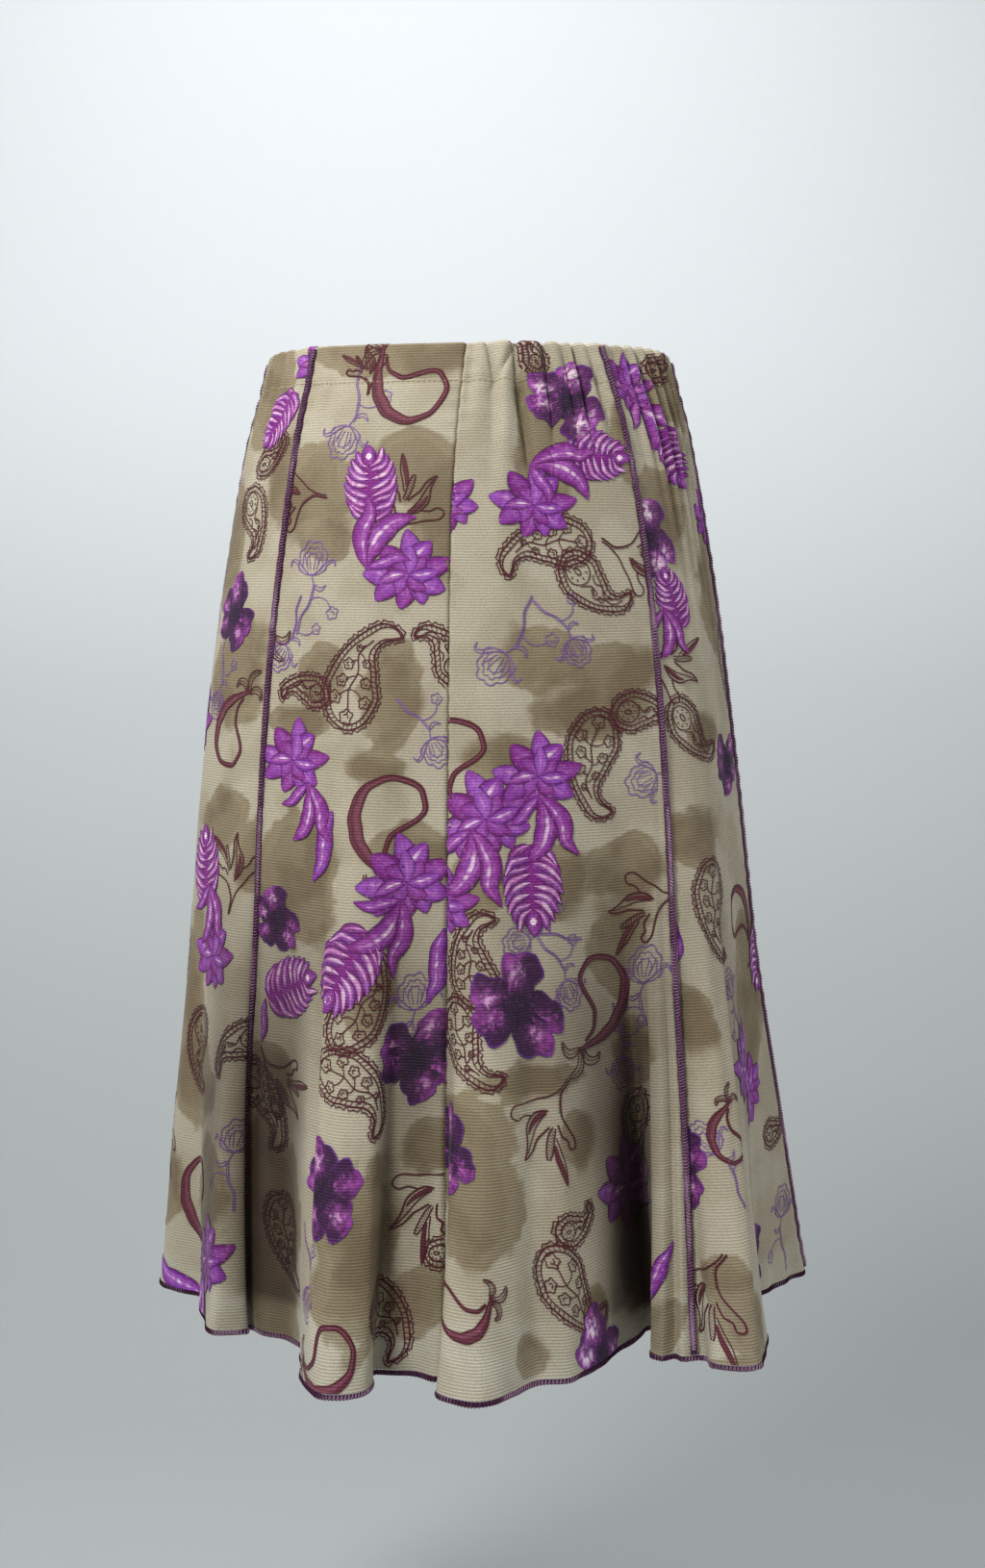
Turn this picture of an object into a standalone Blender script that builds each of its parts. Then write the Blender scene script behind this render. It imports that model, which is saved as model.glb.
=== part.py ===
"""A-line skirt, worn: eight flared gores, an elastic casing at the waist and a plain lining.

Frame: metres, +Z up, the skirt's back towards +Y and the wearer's left towards +X.
Origin: the middle of the waist, level with the top edge at centre back.

All the outer cloth is one surface. Rings round a general figure carry it from the waist to
the hip, and below the hip each flute grows until the cloth meets the outline of the hem.
Gores, overlocked seams and the hem's edge are strips of that surface. An azimuth is an angle
in degrees round the body, from centre back (0) over the wearer's left side (90).
"""
import math

import bmesh
import bpy
import numpy as np

MM = 0.001

# Driving sizes
LENGTH = 0.634            # drop of the skirt at centre back
WALL = 1.2 * MM           # cloth, with its fine crosswise ribs
GAP = 0.3 * MM            # clearance between neighbouring pieces
CASING = 24.5 * MM        # height of the turned-over top edge
ELASTIC_THICKNESS = 1.2 * MM
ELASTIC_TOP = 2.7 * MM    # below the top edge
ELASTIC_HEIGHT = 19.5 * MM
HIP_DEPTH = 0.200         # the seams reach their azimuth at the hip this far down
FOLD_GROWTH = 1.9         # above 1: a flute starts softly and deepens faster towards the hem
OVERLOCK_WIDTH = 4.0 * MM
OVERLOCK_HEIGHT = 1.0 * MM
HEM_EDGE_HEIGHT = 3.4 * MM
HEM_EDGE_THICKNESS = 2.0 * MM
LINING_WALL = 1.0 * MM
LINING_LENGTH = 0.625

# Resolution
CELLS_PER_GORE = 15
SPLINE_STEPS = 12
TURN_WEIGHT = 0.012       # metres of hem that one radian of turning counts for, for columns
ELASTIC_CELLS = 80
LINING_CELLS = 24

TURN_RADIUS = ELASTIC_THICKNESS / 2 + GAP + WALL / 2     # of the casing's turned top edge

# The casing's top edge: height of its middle, and how it rises at the front and the sides
TOP_EDGE = {"mean": 0.008, "front": 0.005, "sides": 0.003}
HEM_EDGE = {"mean": -0.628, "sides": 0.006}

RINGS = (  # the skirt round a general figure, down from the waist
    # depth, half width, depth of the back, depth of the front
    (0.000, 0.1350, 0.1000, 0.100),
    (0.024, 0.1405, 0.1040, 0.104),
    (0.060, 0.1505, 0.1100, 0.109),
    (0.120, 0.1625, 0.1180, 0.116),
    (0.200, 0.1740, 0.1260, 0.121),
    (0.300, 0.1845, 0.1350, 0.128),
    (0.400, 0.1925, 0.1460, 0.138),
    (0.500, 0.2030, 0.1580, 0.150),
    (0.634, 0.2150, 0.1720, 0.163),
)

LINING_RINGS = (
    (0.0248, 0.1375, 0.1010, 0.101),
    (0.060, 0.1455, 0.1050, 0.104),
    (0.120, 0.1555, 0.1110, 0.109),
    (0.200, 0.1645, 0.1160, 0.112),
    (0.300, 0.1670, 0.1150, 0.112),
    (0.420, 0.1680, 0.1130, 0.111),
    (0.625, 0.1690, 0.1110, 0.110),
)

SEAMS = (
    # name, azimuth at the waist, azimuth at the hip, hem x, hem y
    ("back", 0.0, 3.5, 0.012, 0.187),
    ("side_back_left", 46.5, 46.0, 0.143, 0.102),
    ("side_left", 91.0, 93.0, 0.173, -0.067),
    ("side_front_left", 135.0, 137.0, 0.128, -0.140),
    ("front", 180.0, 181.0, -0.002, -0.170),
    ("side_front_right", 225.0, 227.0, -0.137, -0.172),
    ("side_right", 272.0, 275.0, -0.231, -0.005),
    ("side_back_right", 321.8, 316.0, -0.137, 0.166),
)
PLAIN_SEAMS = ("back", "front")

GORES = (
    # node, gathers, first and last (share of the gore's waist), rise, how far down they reach
    ("gore_back_left", 2, 0.62, 0.90, 0.8 * MM, 0.05),
    ("gore_side_back_left", 4, 0.28, 0.92, 1.9 * MM, 0.12),
    ("gore_side_front_left", 5, 0.10, 0.90, 2.0 * MM, 0.10),
    ("gore_front_left", 4, 0.12, 0.88, 1.8 * MM, 0.09),
    ("gore_front_right", 4, 0.12, 0.88, 1.8 * MM, 0.10),
    ("gore_side_front_right", 5, 0.10, 0.90, 2.0 * MM, 0.11),
    ("gore_side_back_right", 6, 0.08, 0.88, 2.3 * MM, 0.14),
    ("gore_back_right", 5, 0.10, 0.66, 2.2 * MM, 0.13),
)
GATHER_WIDTH = 0.27       # half width of a gather, as a share of the distance between two

FOLDS = (  # one row for each ridge and valley of the hem, round from centre back
    # name, crown x, crown y, width, rise of the crown, facing, depth where it starts
    ("dip_back_left", 0.042, 0.1755, 0.024, -0.001, 4, 0.18),
    ("flute_back_left", 0.078, 0.2235, 0.038, 0.014, 16, 0.15),
    ("hollow_back_left", 0.124, 0.1170, 0.046, 0.001, 35, 0.15),
    ("flute_side_back_left", 0.157, 0.1215, 0.029, 0.013, 22, 0.22),
    ("dip_side_back_left", 0.174, 0.0600, 0.030, -0.001, 80, 0.25),
    ("flute_side_left", 0.2105, 0.0040, 0.051, 0.007, 90, 0.21),
    ("hollow_side_left", 0.172, -0.0530, 0.028, -0.003, 113, 0.21),
    ("flute_side_front_left", 0.226, -0.1180, 0.052, 0.018, 115, 0.18),
    ("hollow_side_front_left", 0.150, -0.1040, 0.030, -0.006, 135, 0.17),
    ("flute_front_left", 0.086, -0.2090, 0.046, 0.018, 155, 0.16),
    ("hollow_front_left", 0.030, -0.1330, 0.030, -0.006, 170, 0.16),
    ("flute_front_right", -0.032, -0.2170, 0.044, 0.018, 190, 0.19),
    ("hollow_front_right", -0.090, -0.1290, 0.030, -0.006, 215, 0.17),
    ("flute_side_front_right", -0.148, -0.1760, 0.036, 0.014, 222, 0.18),
    ("hollow_side_front_right", -0.172, -0.0880, 0.030, -0.006, 240, 0.18),
    ("flute_side_right", -0.228, -0.0660, 0.040, 0.009, 262, 0.21),
    ("edge_side_right", -0.232, -0.0020, 0.036, 0.008, 285, 0.21),
    ("hollow_side_right", -0.194, 0.0480, 0.024, -0.002, 300, 0.19),
    ("flute_side_back_right", -0.170, 0.1905, 0.034, 0.014, 338, 0.17),
    ("notch_side_back_right", -0.137, 0.1660, 0.012, -0.001, 352, 0.17),
    ("flute_edge_right", -0.119, 0.1650, 0.014, 0.007, 15, 0.19),
    ("hollow_back_right", -0.116, 0.0980, 0.012, -0.002, 320, 0.19),
    ("slope_back_right", -0.062, 0.1920, 0.036, 0.008, 330, 0.16),
    ("flute_back_right", -0.008, 0.2315, 0.043, 0.0155, 358, 0.14),
    ("notch_back", 0.012, 0.1870, 0.008, -0.001, 20, 0.14),
)

WALL_DEPTHS = (  # rows of the outer wall, down from the top edge
    0.0125, CASING, 0.045, 0.075, 0.120, 0.180, 0.250, 0.320, 0.385, 0.445, 0.500, 0.550, 0.595,
)
LINING_DEPTHS = (0.0248, 0.060, 0.110, 0.180, 0.270, 0.380, 0.500, LINING_LENGTH)
TURN_ANGLES = (180, 135, 90, 45, 0)     # round the casing's top edge, from inside to outside

MATERIALS = (
    # name, colour, roughness
    ("printed_knit", (0.56, 0.50, 0.38, 1.0), 0.75),
    ("lining_knit", (0.47, 0.41, 0.31, 1.0), 0.80),
    ("overlock_thread", (0.20, 0.04, 0.17, 1.0), 0.70),
    ("elastic", (0.80, 0.78, 0.72, 1.0), 0.80),
)


# ---------------------------------------------------------------- curves

def smooth_through(xs, ys, x):
    """Monotone cubic through (xs, ys): no overshoot between two rows of a table."""
    xs, ys = np.asarray(xs, float), np.asarray(ys, float)
    step = np.diff(xs)
    slope = np.diff(ys) / step
    tangent = np.zeros(len(xs))
    tangent[0], tangent[-1] = slope[0], slope[-1]
    same_sign = slope[:-1] * slope[1:] > 0
    inner = np.zeros(len(xs) - 2)
    inner[same_sign] = 2 / (1 / slope[:-1][same_sign] + 1 / slope[1:][same_sign])
    tangent[1:-1] = inner
    i = np.clip(np.searchsorted(xs, x) - 1, 0, len(step) - 1)
    t = np.clip((x - xs[i]) / step[i], 0, 1)
    start, end = ys[i], ys[i + 1]
    return (start + t * step[i] * tangent[i] * (1 - t) ** 2
            + (end - start) * t * t * (3 - 2 * t)
            - t * t * (1 - t) * step[i] * tangent[i + 1])


def closed_spline(points, steps):
    """Centripetal Catmull-Rom curve through a closed list of points."""
    curve = []
    count = len(points)
    for i in range(count):
        p = [points[(i + k - 1) % count] for k in range(4)]
        knots = [0.0]
        for k in range(3):
            knots.append(knots[-1] + math.sqrt(np.linalg.norm(p[k + 1] - p[k])))
        for step in range(steps):
            t = knots[1] + (knots[2] - knots[1]) * step / steps
            level = list(p)
            for span in (1, 2, 3):
                level = blend_level(level, knots, span, t)
            curve.append(level[0])
    return np.array(curve)


def blend_level(level, knots, span, t):
    """One level of the Catmull-Rom pyramid: neighbours blended over their knots."""
    if span < 3:
        pairs = [(k, k + span) for k in range(len(level) - 1)]
    else:
        pairs = [(1, 2)]
    return [
        ((knots[b] - t) * level[k] + (t - knots[a]) * level[k + 1]) / (knots[b] - knots[a])
        for k, (a, b) in enumerate(pairs)
    ]


def smoothstep(x):
    x = np.clip(x, 0, 1)
    return x * x * (3 - 2 * x)


def settle(x):
    """From 0 to 1, fast at first and then ever slower."""
    return 1 - (1 - np.clip(x, 0, 1)) ** 3


# ---------------------------------------------------------------- the hem's outline

def direction(azimuth):
    """Outward direction at an azimuth in degrees."""
    return np.array((math.sin(math.radians(azimuth)), math.cos(math.radians(azimuth))))


def fold_points(row):
    """A ridge or valley of the hem: its two ends and its crown."""
    _, x, y, width, rise, facing, _ = row
    outward = direction(facing)
    along = np.array((outward[1], -outward[0]))
    crown = np.array((x, y))
    middle = crown - rise * outward
    return [middle - along * width / 2, crown, middle + along * width / 2]


def hem_outline():
    """The hem's outline as a fine closed curve, and the depth where each point's fold starts."""
    points = [point for row in FOLDS for point in fold_points(row)]
    outline = closed_spline(points, SPLINE_STEPS)
    count = len(outline)
    crowns = [(3 * i + 1) * SPLINE_STEPS for i in range(len(FOLDS))]
    starts = [row[6] for row in FOLDS]
    crowns = [crowns[-1] - count] + crowns + [crowns[0] + count]
    starts = [starts[-1]] + starts + [starts[0]]
    return outline, smooth_through(crowns, starts, np.arange(count))


def seam_positions(outline):
    """Index on the outline where each seam reaches the hem, rising from the first seam."""
    places = []
    for _, _, _, x, y in SEAMS:
        places.append(int(np.argmin(np.hypot(outline[:, 0] - x, outline[:, 1] - y))))
    first = places[0]
    return [first + (place - first) % len(outline) for place in places] + [first + len(outline)]


# ---------------------------------------------------------------- the cloth surface

class Columns:
    """Lines that run down the cloth: their azimuths, places on the hem and fold starts."""

    def __init__(self, waist, hip, hem, start):
        self.waist = np.radians(waist)
        self.hip = np.radians(hip)
        self.hem = hem
        self.start = start


def gore_columns(outline, starts, first, last, seam, next_seam):
    """Columns of one gore without its second seam, closer together where the hem turns."""
    picks = np.arange(first, last + 1) % len(outline)
    points = outline[picks]
    steps = np.diff(points, axis=0)
    arc = np.concatenate(([0], np.cumsum(np.hypot(steps[:, 0], steps[:, 1]))))
    heading = np.unwrap(np.arctan2(steps[:, 1], steps[:, 0]))
    turning = np.concatenate(([0, 0], np.cumsum(np.abs(np.diff(heading)))))
    weight = arc + TURN_WEIGHT * turning
    place = np.interp(np.arange(CELLS_PER_GORE) / CELLS_PER_GORE * weight[-1], weight, arc)
    share = place / arc[-1]
    hem = np.column_stack([np.interp(place, arc, points[:, k]) for k in (0, 1)])
    start = np.interp(place, arc, starts[picks])
    waist = seam[0] + (next_seam[0] - seam[0]) * share
    hip = seam[1] + (next_seam[1] - seam[1]) * share
    return waist, hip, hem, start


def all_columns():
    """Every column round the skirt. Column k * CELLS_PER_GORE lies on seam k."""
    outline, starts = hem_outline()
    places = seam_positions(outline)
    azimuths = [(row[1], row[2]) for row in SEAMS]
    azimuths.append((azimuths[0][0] + 360, azimuths[0][1] + 360))
    parts = [
        gore_columns(outline, starts, places[k], places[k + 1], azimuths[k], azimuths[k + 1])
        for k in range(len(SEAMS))
    ]
    return Columns(*(np.concatenate([part[i] for part in parts]) for i in range(4)))


def ring_point(rings, azimuth, depth, inset=0.0):
    """Point of an oval ring at an azimuth (radians) and depth, moved in by the inset."""
    depths = [row[0] for row in rings]
    width = smooth_through(depths, [row[1] for row in rings], depth)
    back = smooth_through(depths, [row[2] for row in rings], depth)
    front = smooth_through(depths, [row[3] for row in rings], depth)
    sine, cosine = np.sin(azimuth), np.cos(azimuth)
    reach = np.where(cosine >= 0, back, front)
    outward = np.stack([sine * reach, cosine * width], axis=-1)
    outward /= np.linalg.norm(outward, axis=-1, keepdims=True)
    return np.stack([width * sine, reach * cosine], axis=-1) - inset * outward, outward


def height(azimuth, depth):
    """Height of the cloth at a depth below its top edge, which isn't quite level."""
    top = (TOP_EDGE["mean"] - TOP_EDGE["front"] * np.cos(azimuth)
           - TOP_EDGE["sides"] * np.cos(2 * azimuth))
    hem = HEM_EDGE["mean"] - HEM_EDGE["sides"] * np.cos(2 * azimuth)
    return top + (hem - top) * depth / LENGTH


def gather_rise(azimuth, depth):
    """How far the gathers of the waist lift the cloth."""
    lift = np.zeros_like(azimuth)
    ends = [row[1] for row in SEAMS] + [SEAMS[0][1] + 360]
    for k, (_, count, first, last, rise, reach) in enumerate(GORES):
        span = math.radians(ends[k + 1] - ends[k])
        spacing = span * (last - first) / (count - 1)
        fade = 1 - smoothstep((depth - CASING) / reach)
        for i in range(count):
            middle = math.radians(ends[k]) + span * first + spacing * i
            lift += rise * fade * np.exp(-((azimuth - middle) / (spacing * GATHER_WIDTH)) ** 2)
    return lift


def wall_row(columns, depth):
    """Middle of the outer wall along one row."""
    azimuth = columns.waist + (columns.hip - columns.waist) * settle(depth / HIP_DEPTH)
    ring, outward = ring_point(RINGS, azimuth, depth)
    hem_ring, _ = ring_point(RINGS, azimuth, LENGTH)
    share = np.clip((depth - columns.start) / (LENGTH - columns.start), 0, 1)
    flat = ring + (share ** FOLD_GROWTH)[:, None] * (columns.hem - hem_ring)
    flat += gather_rise(columns.waist, depth)[:, None] * outward
    return np.column_stack([flat, height(azimuth, depth)])


def casing_rows(columns):
    """Rows of the turned-over top edge, from the flap's lower edge up and over."""
    ring_centre = WALL / 2 + TURN_RADIUS
    outer = gather_rise(columns.waist, ring_centre)
    inner = -2 * TURN_RADIUS
    flap, _ = ring_point(RINGS, columns.waist, CASING, inset=-inner)
    rows = [np.column_stack([flap, height(columns.waist, CASING)])]
    ring, outward = ring_point(RINGS, columns.waist, ring_centre)
    for angle in TURN_ANGLES:
        turn = math.radians(angle)
        offset = (outer + inner) / 2 + (outer - inner) / 2 * math.cos(turn)
        level = height(columns.waist, ring_centre) + TURN_RADIUS * math.sin(turn)
        rows.append(np.column_stack([ring + offset[:, None] * outward, level]))
    return rows


def wall_normals(grid):
    """Offset directions on a grid closed round its columns, lengthened at creases so that
    the wall keeps its thickness."""
    around = np.roll(grid, -1, axis=1) - grid
    down = grid[1:] - grid[:-1]
    faces = np.cross((around[:-1] + around[1:]) / 2, (down + np.roll(down, -1, axis=1)) / 2)
    faces /= np.linalg.norm(faces, axis=-1, keepdims=True)
    both = faces + np.roll(faces, 1, axis=1)
    total = np.zeros_like(grid)
    total[:-1] += both
    total[1:] += both
    count = np.full(len(grid), 4.0)
    count[[0, -1]] = 2.0
    mean = total / count[:, None, None]
    length = np.linalg.norm(mean, axis=-1, keepdims=True)
    longest = 1.3
    return mean / length * np.minimum(1 / length, longest)


# ---------------------------------------------------------------- meshes

def shell(name, outer, inner, material, closed=False):
    """A closed wall between two grids of points, shape (rows, columns, 3)."""
    rows, columns = outer.shape[:2]
    mesh = bmesh.new()
    front = [[mesh.verts.new(point) for point in row] for row in outer]
    back = [[mesh.verts.new(point) for point in row] for row in inner]
    spans = [(c, (c + 1) % columns) for c in range(columns if closed else columns - 1)]
    for r in range(rows - 1):
        for c, d in spans:
            for side, flip in ((front, False), (back, True)):
                cell = (side[r][c], side[r][d], side[r + 1][d], side[r + 1][c])
                for corner in ((0, 1, 2), (0, 2, 3)):
                    face = [cell[i] for i in corner]
                    mesh.faces.new(face[::-1] if flip else face)
    for c, d in spans:
        mesh.faces.new((front[0][d], front[0][c], back[0][c], back[0][d]))
        mesh.faces.new((front[-1][c], front[-1][d], back[-1][d], back[-1][c]))
    if not closed:
        for r in range(rows - 1):
            mesh.faces.new((front[r][0], front[r + 1][0], back[r + 1][0], back[r][0]))
            mesh.faces.new((front[r + 1][-1], front[r][-1], back[r][-1], back[r + 1][-1]))
    bmesh.ops.recalc_face_normals(mesh, faces=mesh.faces)
    data = bpy.data.meshes.new(name)
    mesh.to_mesh(data)
    mesh.free()
    data.materials.append(material)
    data.shade_smooth()
    data.set_sharp_from_angle(angle=math.radians(50))
    piece = bpy.data.objects.new(name, data)
    bpy.data.collections[COLLECTION].objects.link(piece)
    return piece


def part_way(start, end, distance):
    """Point on the way from each start to its end, at a fixed distance."""
    step = end - start
    length = np.linalg.norm(step, axis=-1, keepdims=True)
    return start + step * (distance / length), distance / length


def beside_seam(grid, normals, seam, side, distance):
    """Points and directions a fixed distance beside a seam, on the cloth's own facets."""
    columns = grid.shape[1]
    near = seam * CELLS_PER_GORE % columns
    next_to = (near + side) % columns
    points, share = part_way(grid[:, near], grid[:, next_to], distance)
    return points, normals[:, near] + (normals[:, next_to] - normals[:, near]) * share


def make_gore(name, seam, grid, normals, material):
    """One gore: its cloth between two seams, with its own casing turned over at the top."""
    columns = grid.shape[1]
    inside = [(seam * CELLS_PER_GORE + i) % columns for i in range(1, CELLS_PER_GORE)]
    near_seam = OVERLOCK_WIDTH / 2 + GAP
    strips = [beside_seam(grid, normals, seam, 1, distance) for distance in (GAP / 2, near_seam)]
    strips += [(grid[:, c], normals[:, c]) for c in inside]
    strips += [
        beside_seam(grid, normals, seam + 1, -1, distance) for distance in (near_seam, GAP / 2)
    ]
    points = np.stack([strip[0] for strip in strips], axis=1)
    outward = np.stack([strip[1] for strip in strips], axis=1)
    shell(name, points + outward * WALL / 2, points - outward * WALL / 2, material)


def make_seam_overlock(name, seam, grid, normals, material):
    """Overlocked seam: a low strip that lies on both gores along their seam."""
    columns = grid.shape[1]
    near = seam * CELLS_PER_GORE % columns
    half = OVERLOCK_WIDTH / 2
    strips = [
        beside_seam(grid, normals, seam, -1, half),
        (grid[:, near], normals[:, near]),
        beside_seam(grid, normals, seam, 1, half),
    ]
    points = np.stack([strip[0] for strip in strips], axis=1)
    outward = np.stack([strip[1] for strip in strips], axis=1)
    low = WALL / 2 + GAP
    shell(name, points + outward * (low + OVERLOCK_HEIGHT), points + outward * low, material)


def make_hem_edge(name, columns, material):
    """The overlocked edge that runs on round the whole hem below the gores."""
    depths = (LENGTH - HEM_EDGE_HEIGHT, LENGTH)
    grid = np.stack([wall_row(columns, depth) for depth in depths])
    outward = wall_normals(grid) * HEM_EDGE_THICKNESS / 2
    shell(name, grid + outward, grid - outward, material, closed=True)


def make_elastic(name, material):
    """The elastic ring inside the casing."""
    azimuth = np.arange(ELASTIC_CELLS) * 2 * math.pi / ELASTIC_CELLS
    faces = []
    for inset in (TURN_RADIUS - ELASTIC_THICKNESS / 2, TURN_RADIUS + ELASTIC_THICKNESS / 2):
        rows = []
        for depth in (ELASTIC_TOP, ELASTIC_TOP + ELASTIC_HEIGHT):
            flat, _ = ring_point(RINGS, azimuth, depth, inset)
            rows.append(np.column_stack([flat, height(azimuth, depth)]))
        faces.append(np.stack(rows))
    shell(name, faces[0], faces[1], material, closed=True)


def make_lining(name, first, last, material):
    """Half of the lining, between two azimuths in radians."""
    side_gap = GAP / 2 / LINING_RINGS[0][2]
    azimuth = np.linspace(first + side_gap, last - side_gap, LINING_CELLS + 1)
    outer, inner = [], []
    for depth in LINING_DEPTHS:
        for face, inset in ((outer, -LINING_WALL / 2), (inner, LINING_WALL / 2)):
            flat, _ = ring_point(LINING_RINGS, azimuth, depth, inset)
            face.append(np.column_stack([flat, height(azimuth, depth)]))
    shell(name, np.stack(outer), np.stack(inner), material)


# ---------------------------------------------------------------- the skirt

COLLECTION = "a_line_skirt"


def make_material(name, colour, roughness):
    material = bpy.data.materials.new(name)
    material.use_nodes = True
    material.diffuse_color = colour
    shader = material.node_tree.nodes["Principled BSDF"]
    shader.inputs["Base Color"].default_value = colour
    shader.inputs["Roughness"].default_value = roughness
    shader.inputs["Metallic"].default_value = 0.0
    return material


def build():
    for old in list(bpy.data.objects):
        bpy.data.objects.remove(old, do_unlink=True)
    bpy.context.scene.collection.children.link(bpy.data.collections.new(COLLECTION))
    knit, lining, thread, elastic = (make_material(*row) for row in MATERIALS)

    columns = all_columns()
    wall_end = LENGTH - HEM_EDGE_HEIGHT - GAP
    casing = casing_rows(columns)
    wall = [wall_row(columns, depth) for depth in WALL_DEPTHS + (wall_end,)]
    grid = np.stack(casing + wall)
    normals = wall_normals(grid)
    outside = len(casing) - 1          # first row of the outer wall

    for seam, row in enumerate(GORES):
        make_gore(row[0], seam, grid, normals, knit)
    for seam, row in enumerate(SEAMS):
        if row[0] not in PLAIN_SEAMS:
            make_seam_overlock("overlock_" + row[0], seam, grid[outside:], normals[outside:], thread)
    make_hem_edge("overlock_hem", columns, thread)
    make_elastic("waist_elastic", elastic)
    quarter = math.pi / 2
    make_lining("lining_back", -quarter, quarter, lining)
    make_lining("lining_front", quarter, 3 * quarter, lining)


build()
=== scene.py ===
"""The a-line skirt dressed: printed knit gores, lining, overlocked edges and a plain studio.

The cloth's surface comes from the same named sizes and tables as the part's solids, on a finer
grid, and then gets its gathers, creases and seam puckers. Lengths are in metres unless a name
or a comment says millimetres. An azimuth is an angle round the body in degrees, from centre back
over the wearer's left side. A place round the cloth counts gores: 7.65 lies 65% of the way
across the eighth gore, gore_back_right.
"""
import math
from collections import namedtuple

import bpy
import numpy as np
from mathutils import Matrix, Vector


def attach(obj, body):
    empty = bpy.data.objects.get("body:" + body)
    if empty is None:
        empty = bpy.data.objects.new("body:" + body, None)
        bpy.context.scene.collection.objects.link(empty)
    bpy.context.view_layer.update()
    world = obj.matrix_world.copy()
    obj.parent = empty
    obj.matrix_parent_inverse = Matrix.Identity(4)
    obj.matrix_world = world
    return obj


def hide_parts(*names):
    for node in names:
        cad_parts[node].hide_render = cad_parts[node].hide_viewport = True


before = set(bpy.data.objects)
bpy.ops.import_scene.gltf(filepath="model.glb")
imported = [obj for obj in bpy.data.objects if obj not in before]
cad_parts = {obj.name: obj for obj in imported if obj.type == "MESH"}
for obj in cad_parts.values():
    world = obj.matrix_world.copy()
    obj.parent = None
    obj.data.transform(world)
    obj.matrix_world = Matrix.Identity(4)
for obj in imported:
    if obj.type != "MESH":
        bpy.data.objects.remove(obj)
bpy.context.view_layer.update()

MM = 0.001

# ---------------------------------------------------------------- sizes shared with the part

LENGTH = 0.634            # drop of the skirt at centre back
GAP = 0.3 * MM            # clearance between neighbouring pieces
CASING = 24.5 * MM        # height of the turned-over top edge
HIP_DEPTH = 0.200
FOLD_GROWTH = 1.9
TURN_WEIGHT = 0.012
SPLINE_STEPS = 12
SOLID_WALL = 1.2 * MM
ELASTIC_THICKNESS = 1.2 * MM
TURN_RADIUS = ELASTIC_THICKNESS / 2 + GAP + SOLID_WALL / 2
OVERLOCK_WIDTH = 4.0 * MM
HEM_EDGE_HEIGHT = 3.4 * MM
LINING_LENGTH = 0.625

TOP_EDGE = {"mean": 0.008, "front": 0.005, "sides": 0.003}
HEM_EDGE = {"mean": -0.628, "sides": 0.006}

RINGS = (  # the skirt round a general figure, down from the waist
    # depth, half width, depth of the back, depth of the front
    (0.000, 0.1350, 0.1000, 0.100),
    (0.024, 0.1405, 0.1040, 0.104),
    (0.060, 0.1505, 0.1100, 0.109),
    (0.120, 0.1625, 0.1180, 0.116),
    (0.200, 0.1740, 0.1260, 0.121),
    (0.300, 0.1845, 0.1350, 0.128),
    (0.400, 0.1925, 0.1460, 0.138),
    (0.500, 0.2030, 0.1580, 0.150),
    (0.634, 0.2150, 0.1720, 0.163),
)

LINING_RINGS = (
    (0.0248, 0.1375, 0.1010, 0.101),
    (0.060, 0.1455, 0.1050, 0.104),
    (0.120, 0.1555, 0.1110, 0.109),
    (0.200, 0.1645, 0.1160, 0.112),
    (0.300, 0.1670, 0.1150, 0.112),
    (0.420, 0.1680, 0.1130, 0.111),
    (0.625, 0.1690, 0.1110, 0.110),
)

SEAMS = (
    # name, azimuth at the waist, azimuth at the hip, hem x, hem y
    ("back", 0.0, 3.5, 0.012, 0.187),
    ("side_back_left", 46.5, 46.0, 0.143, 0.102),
    ("side_left", 91.0, 93.0, 0.173, -0.067),
    ("side_front_left", 135.0, 137.0, 0.128, -0.140),
    ("front", 180.0, 181.0, -0.002, -0.170),
    ("side_front_right", 225.0, 227.0, -0.137, -0.172),
    ("side_right", 272.0, 275.0, -0.231, -0.005),
    ("side_back_right", 321.8, 316.0, -0.137, 0.166),
)
PLAIN_SEAMS = (0, 4)

GORES = (
    "gore_back_left", "gore_side_back_left", "gore_side_front_left", "gore_front_left",
    "gore_front_right", "gore_side_front_right", "gore_side_back_right", "gore_back_right",
)

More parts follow.
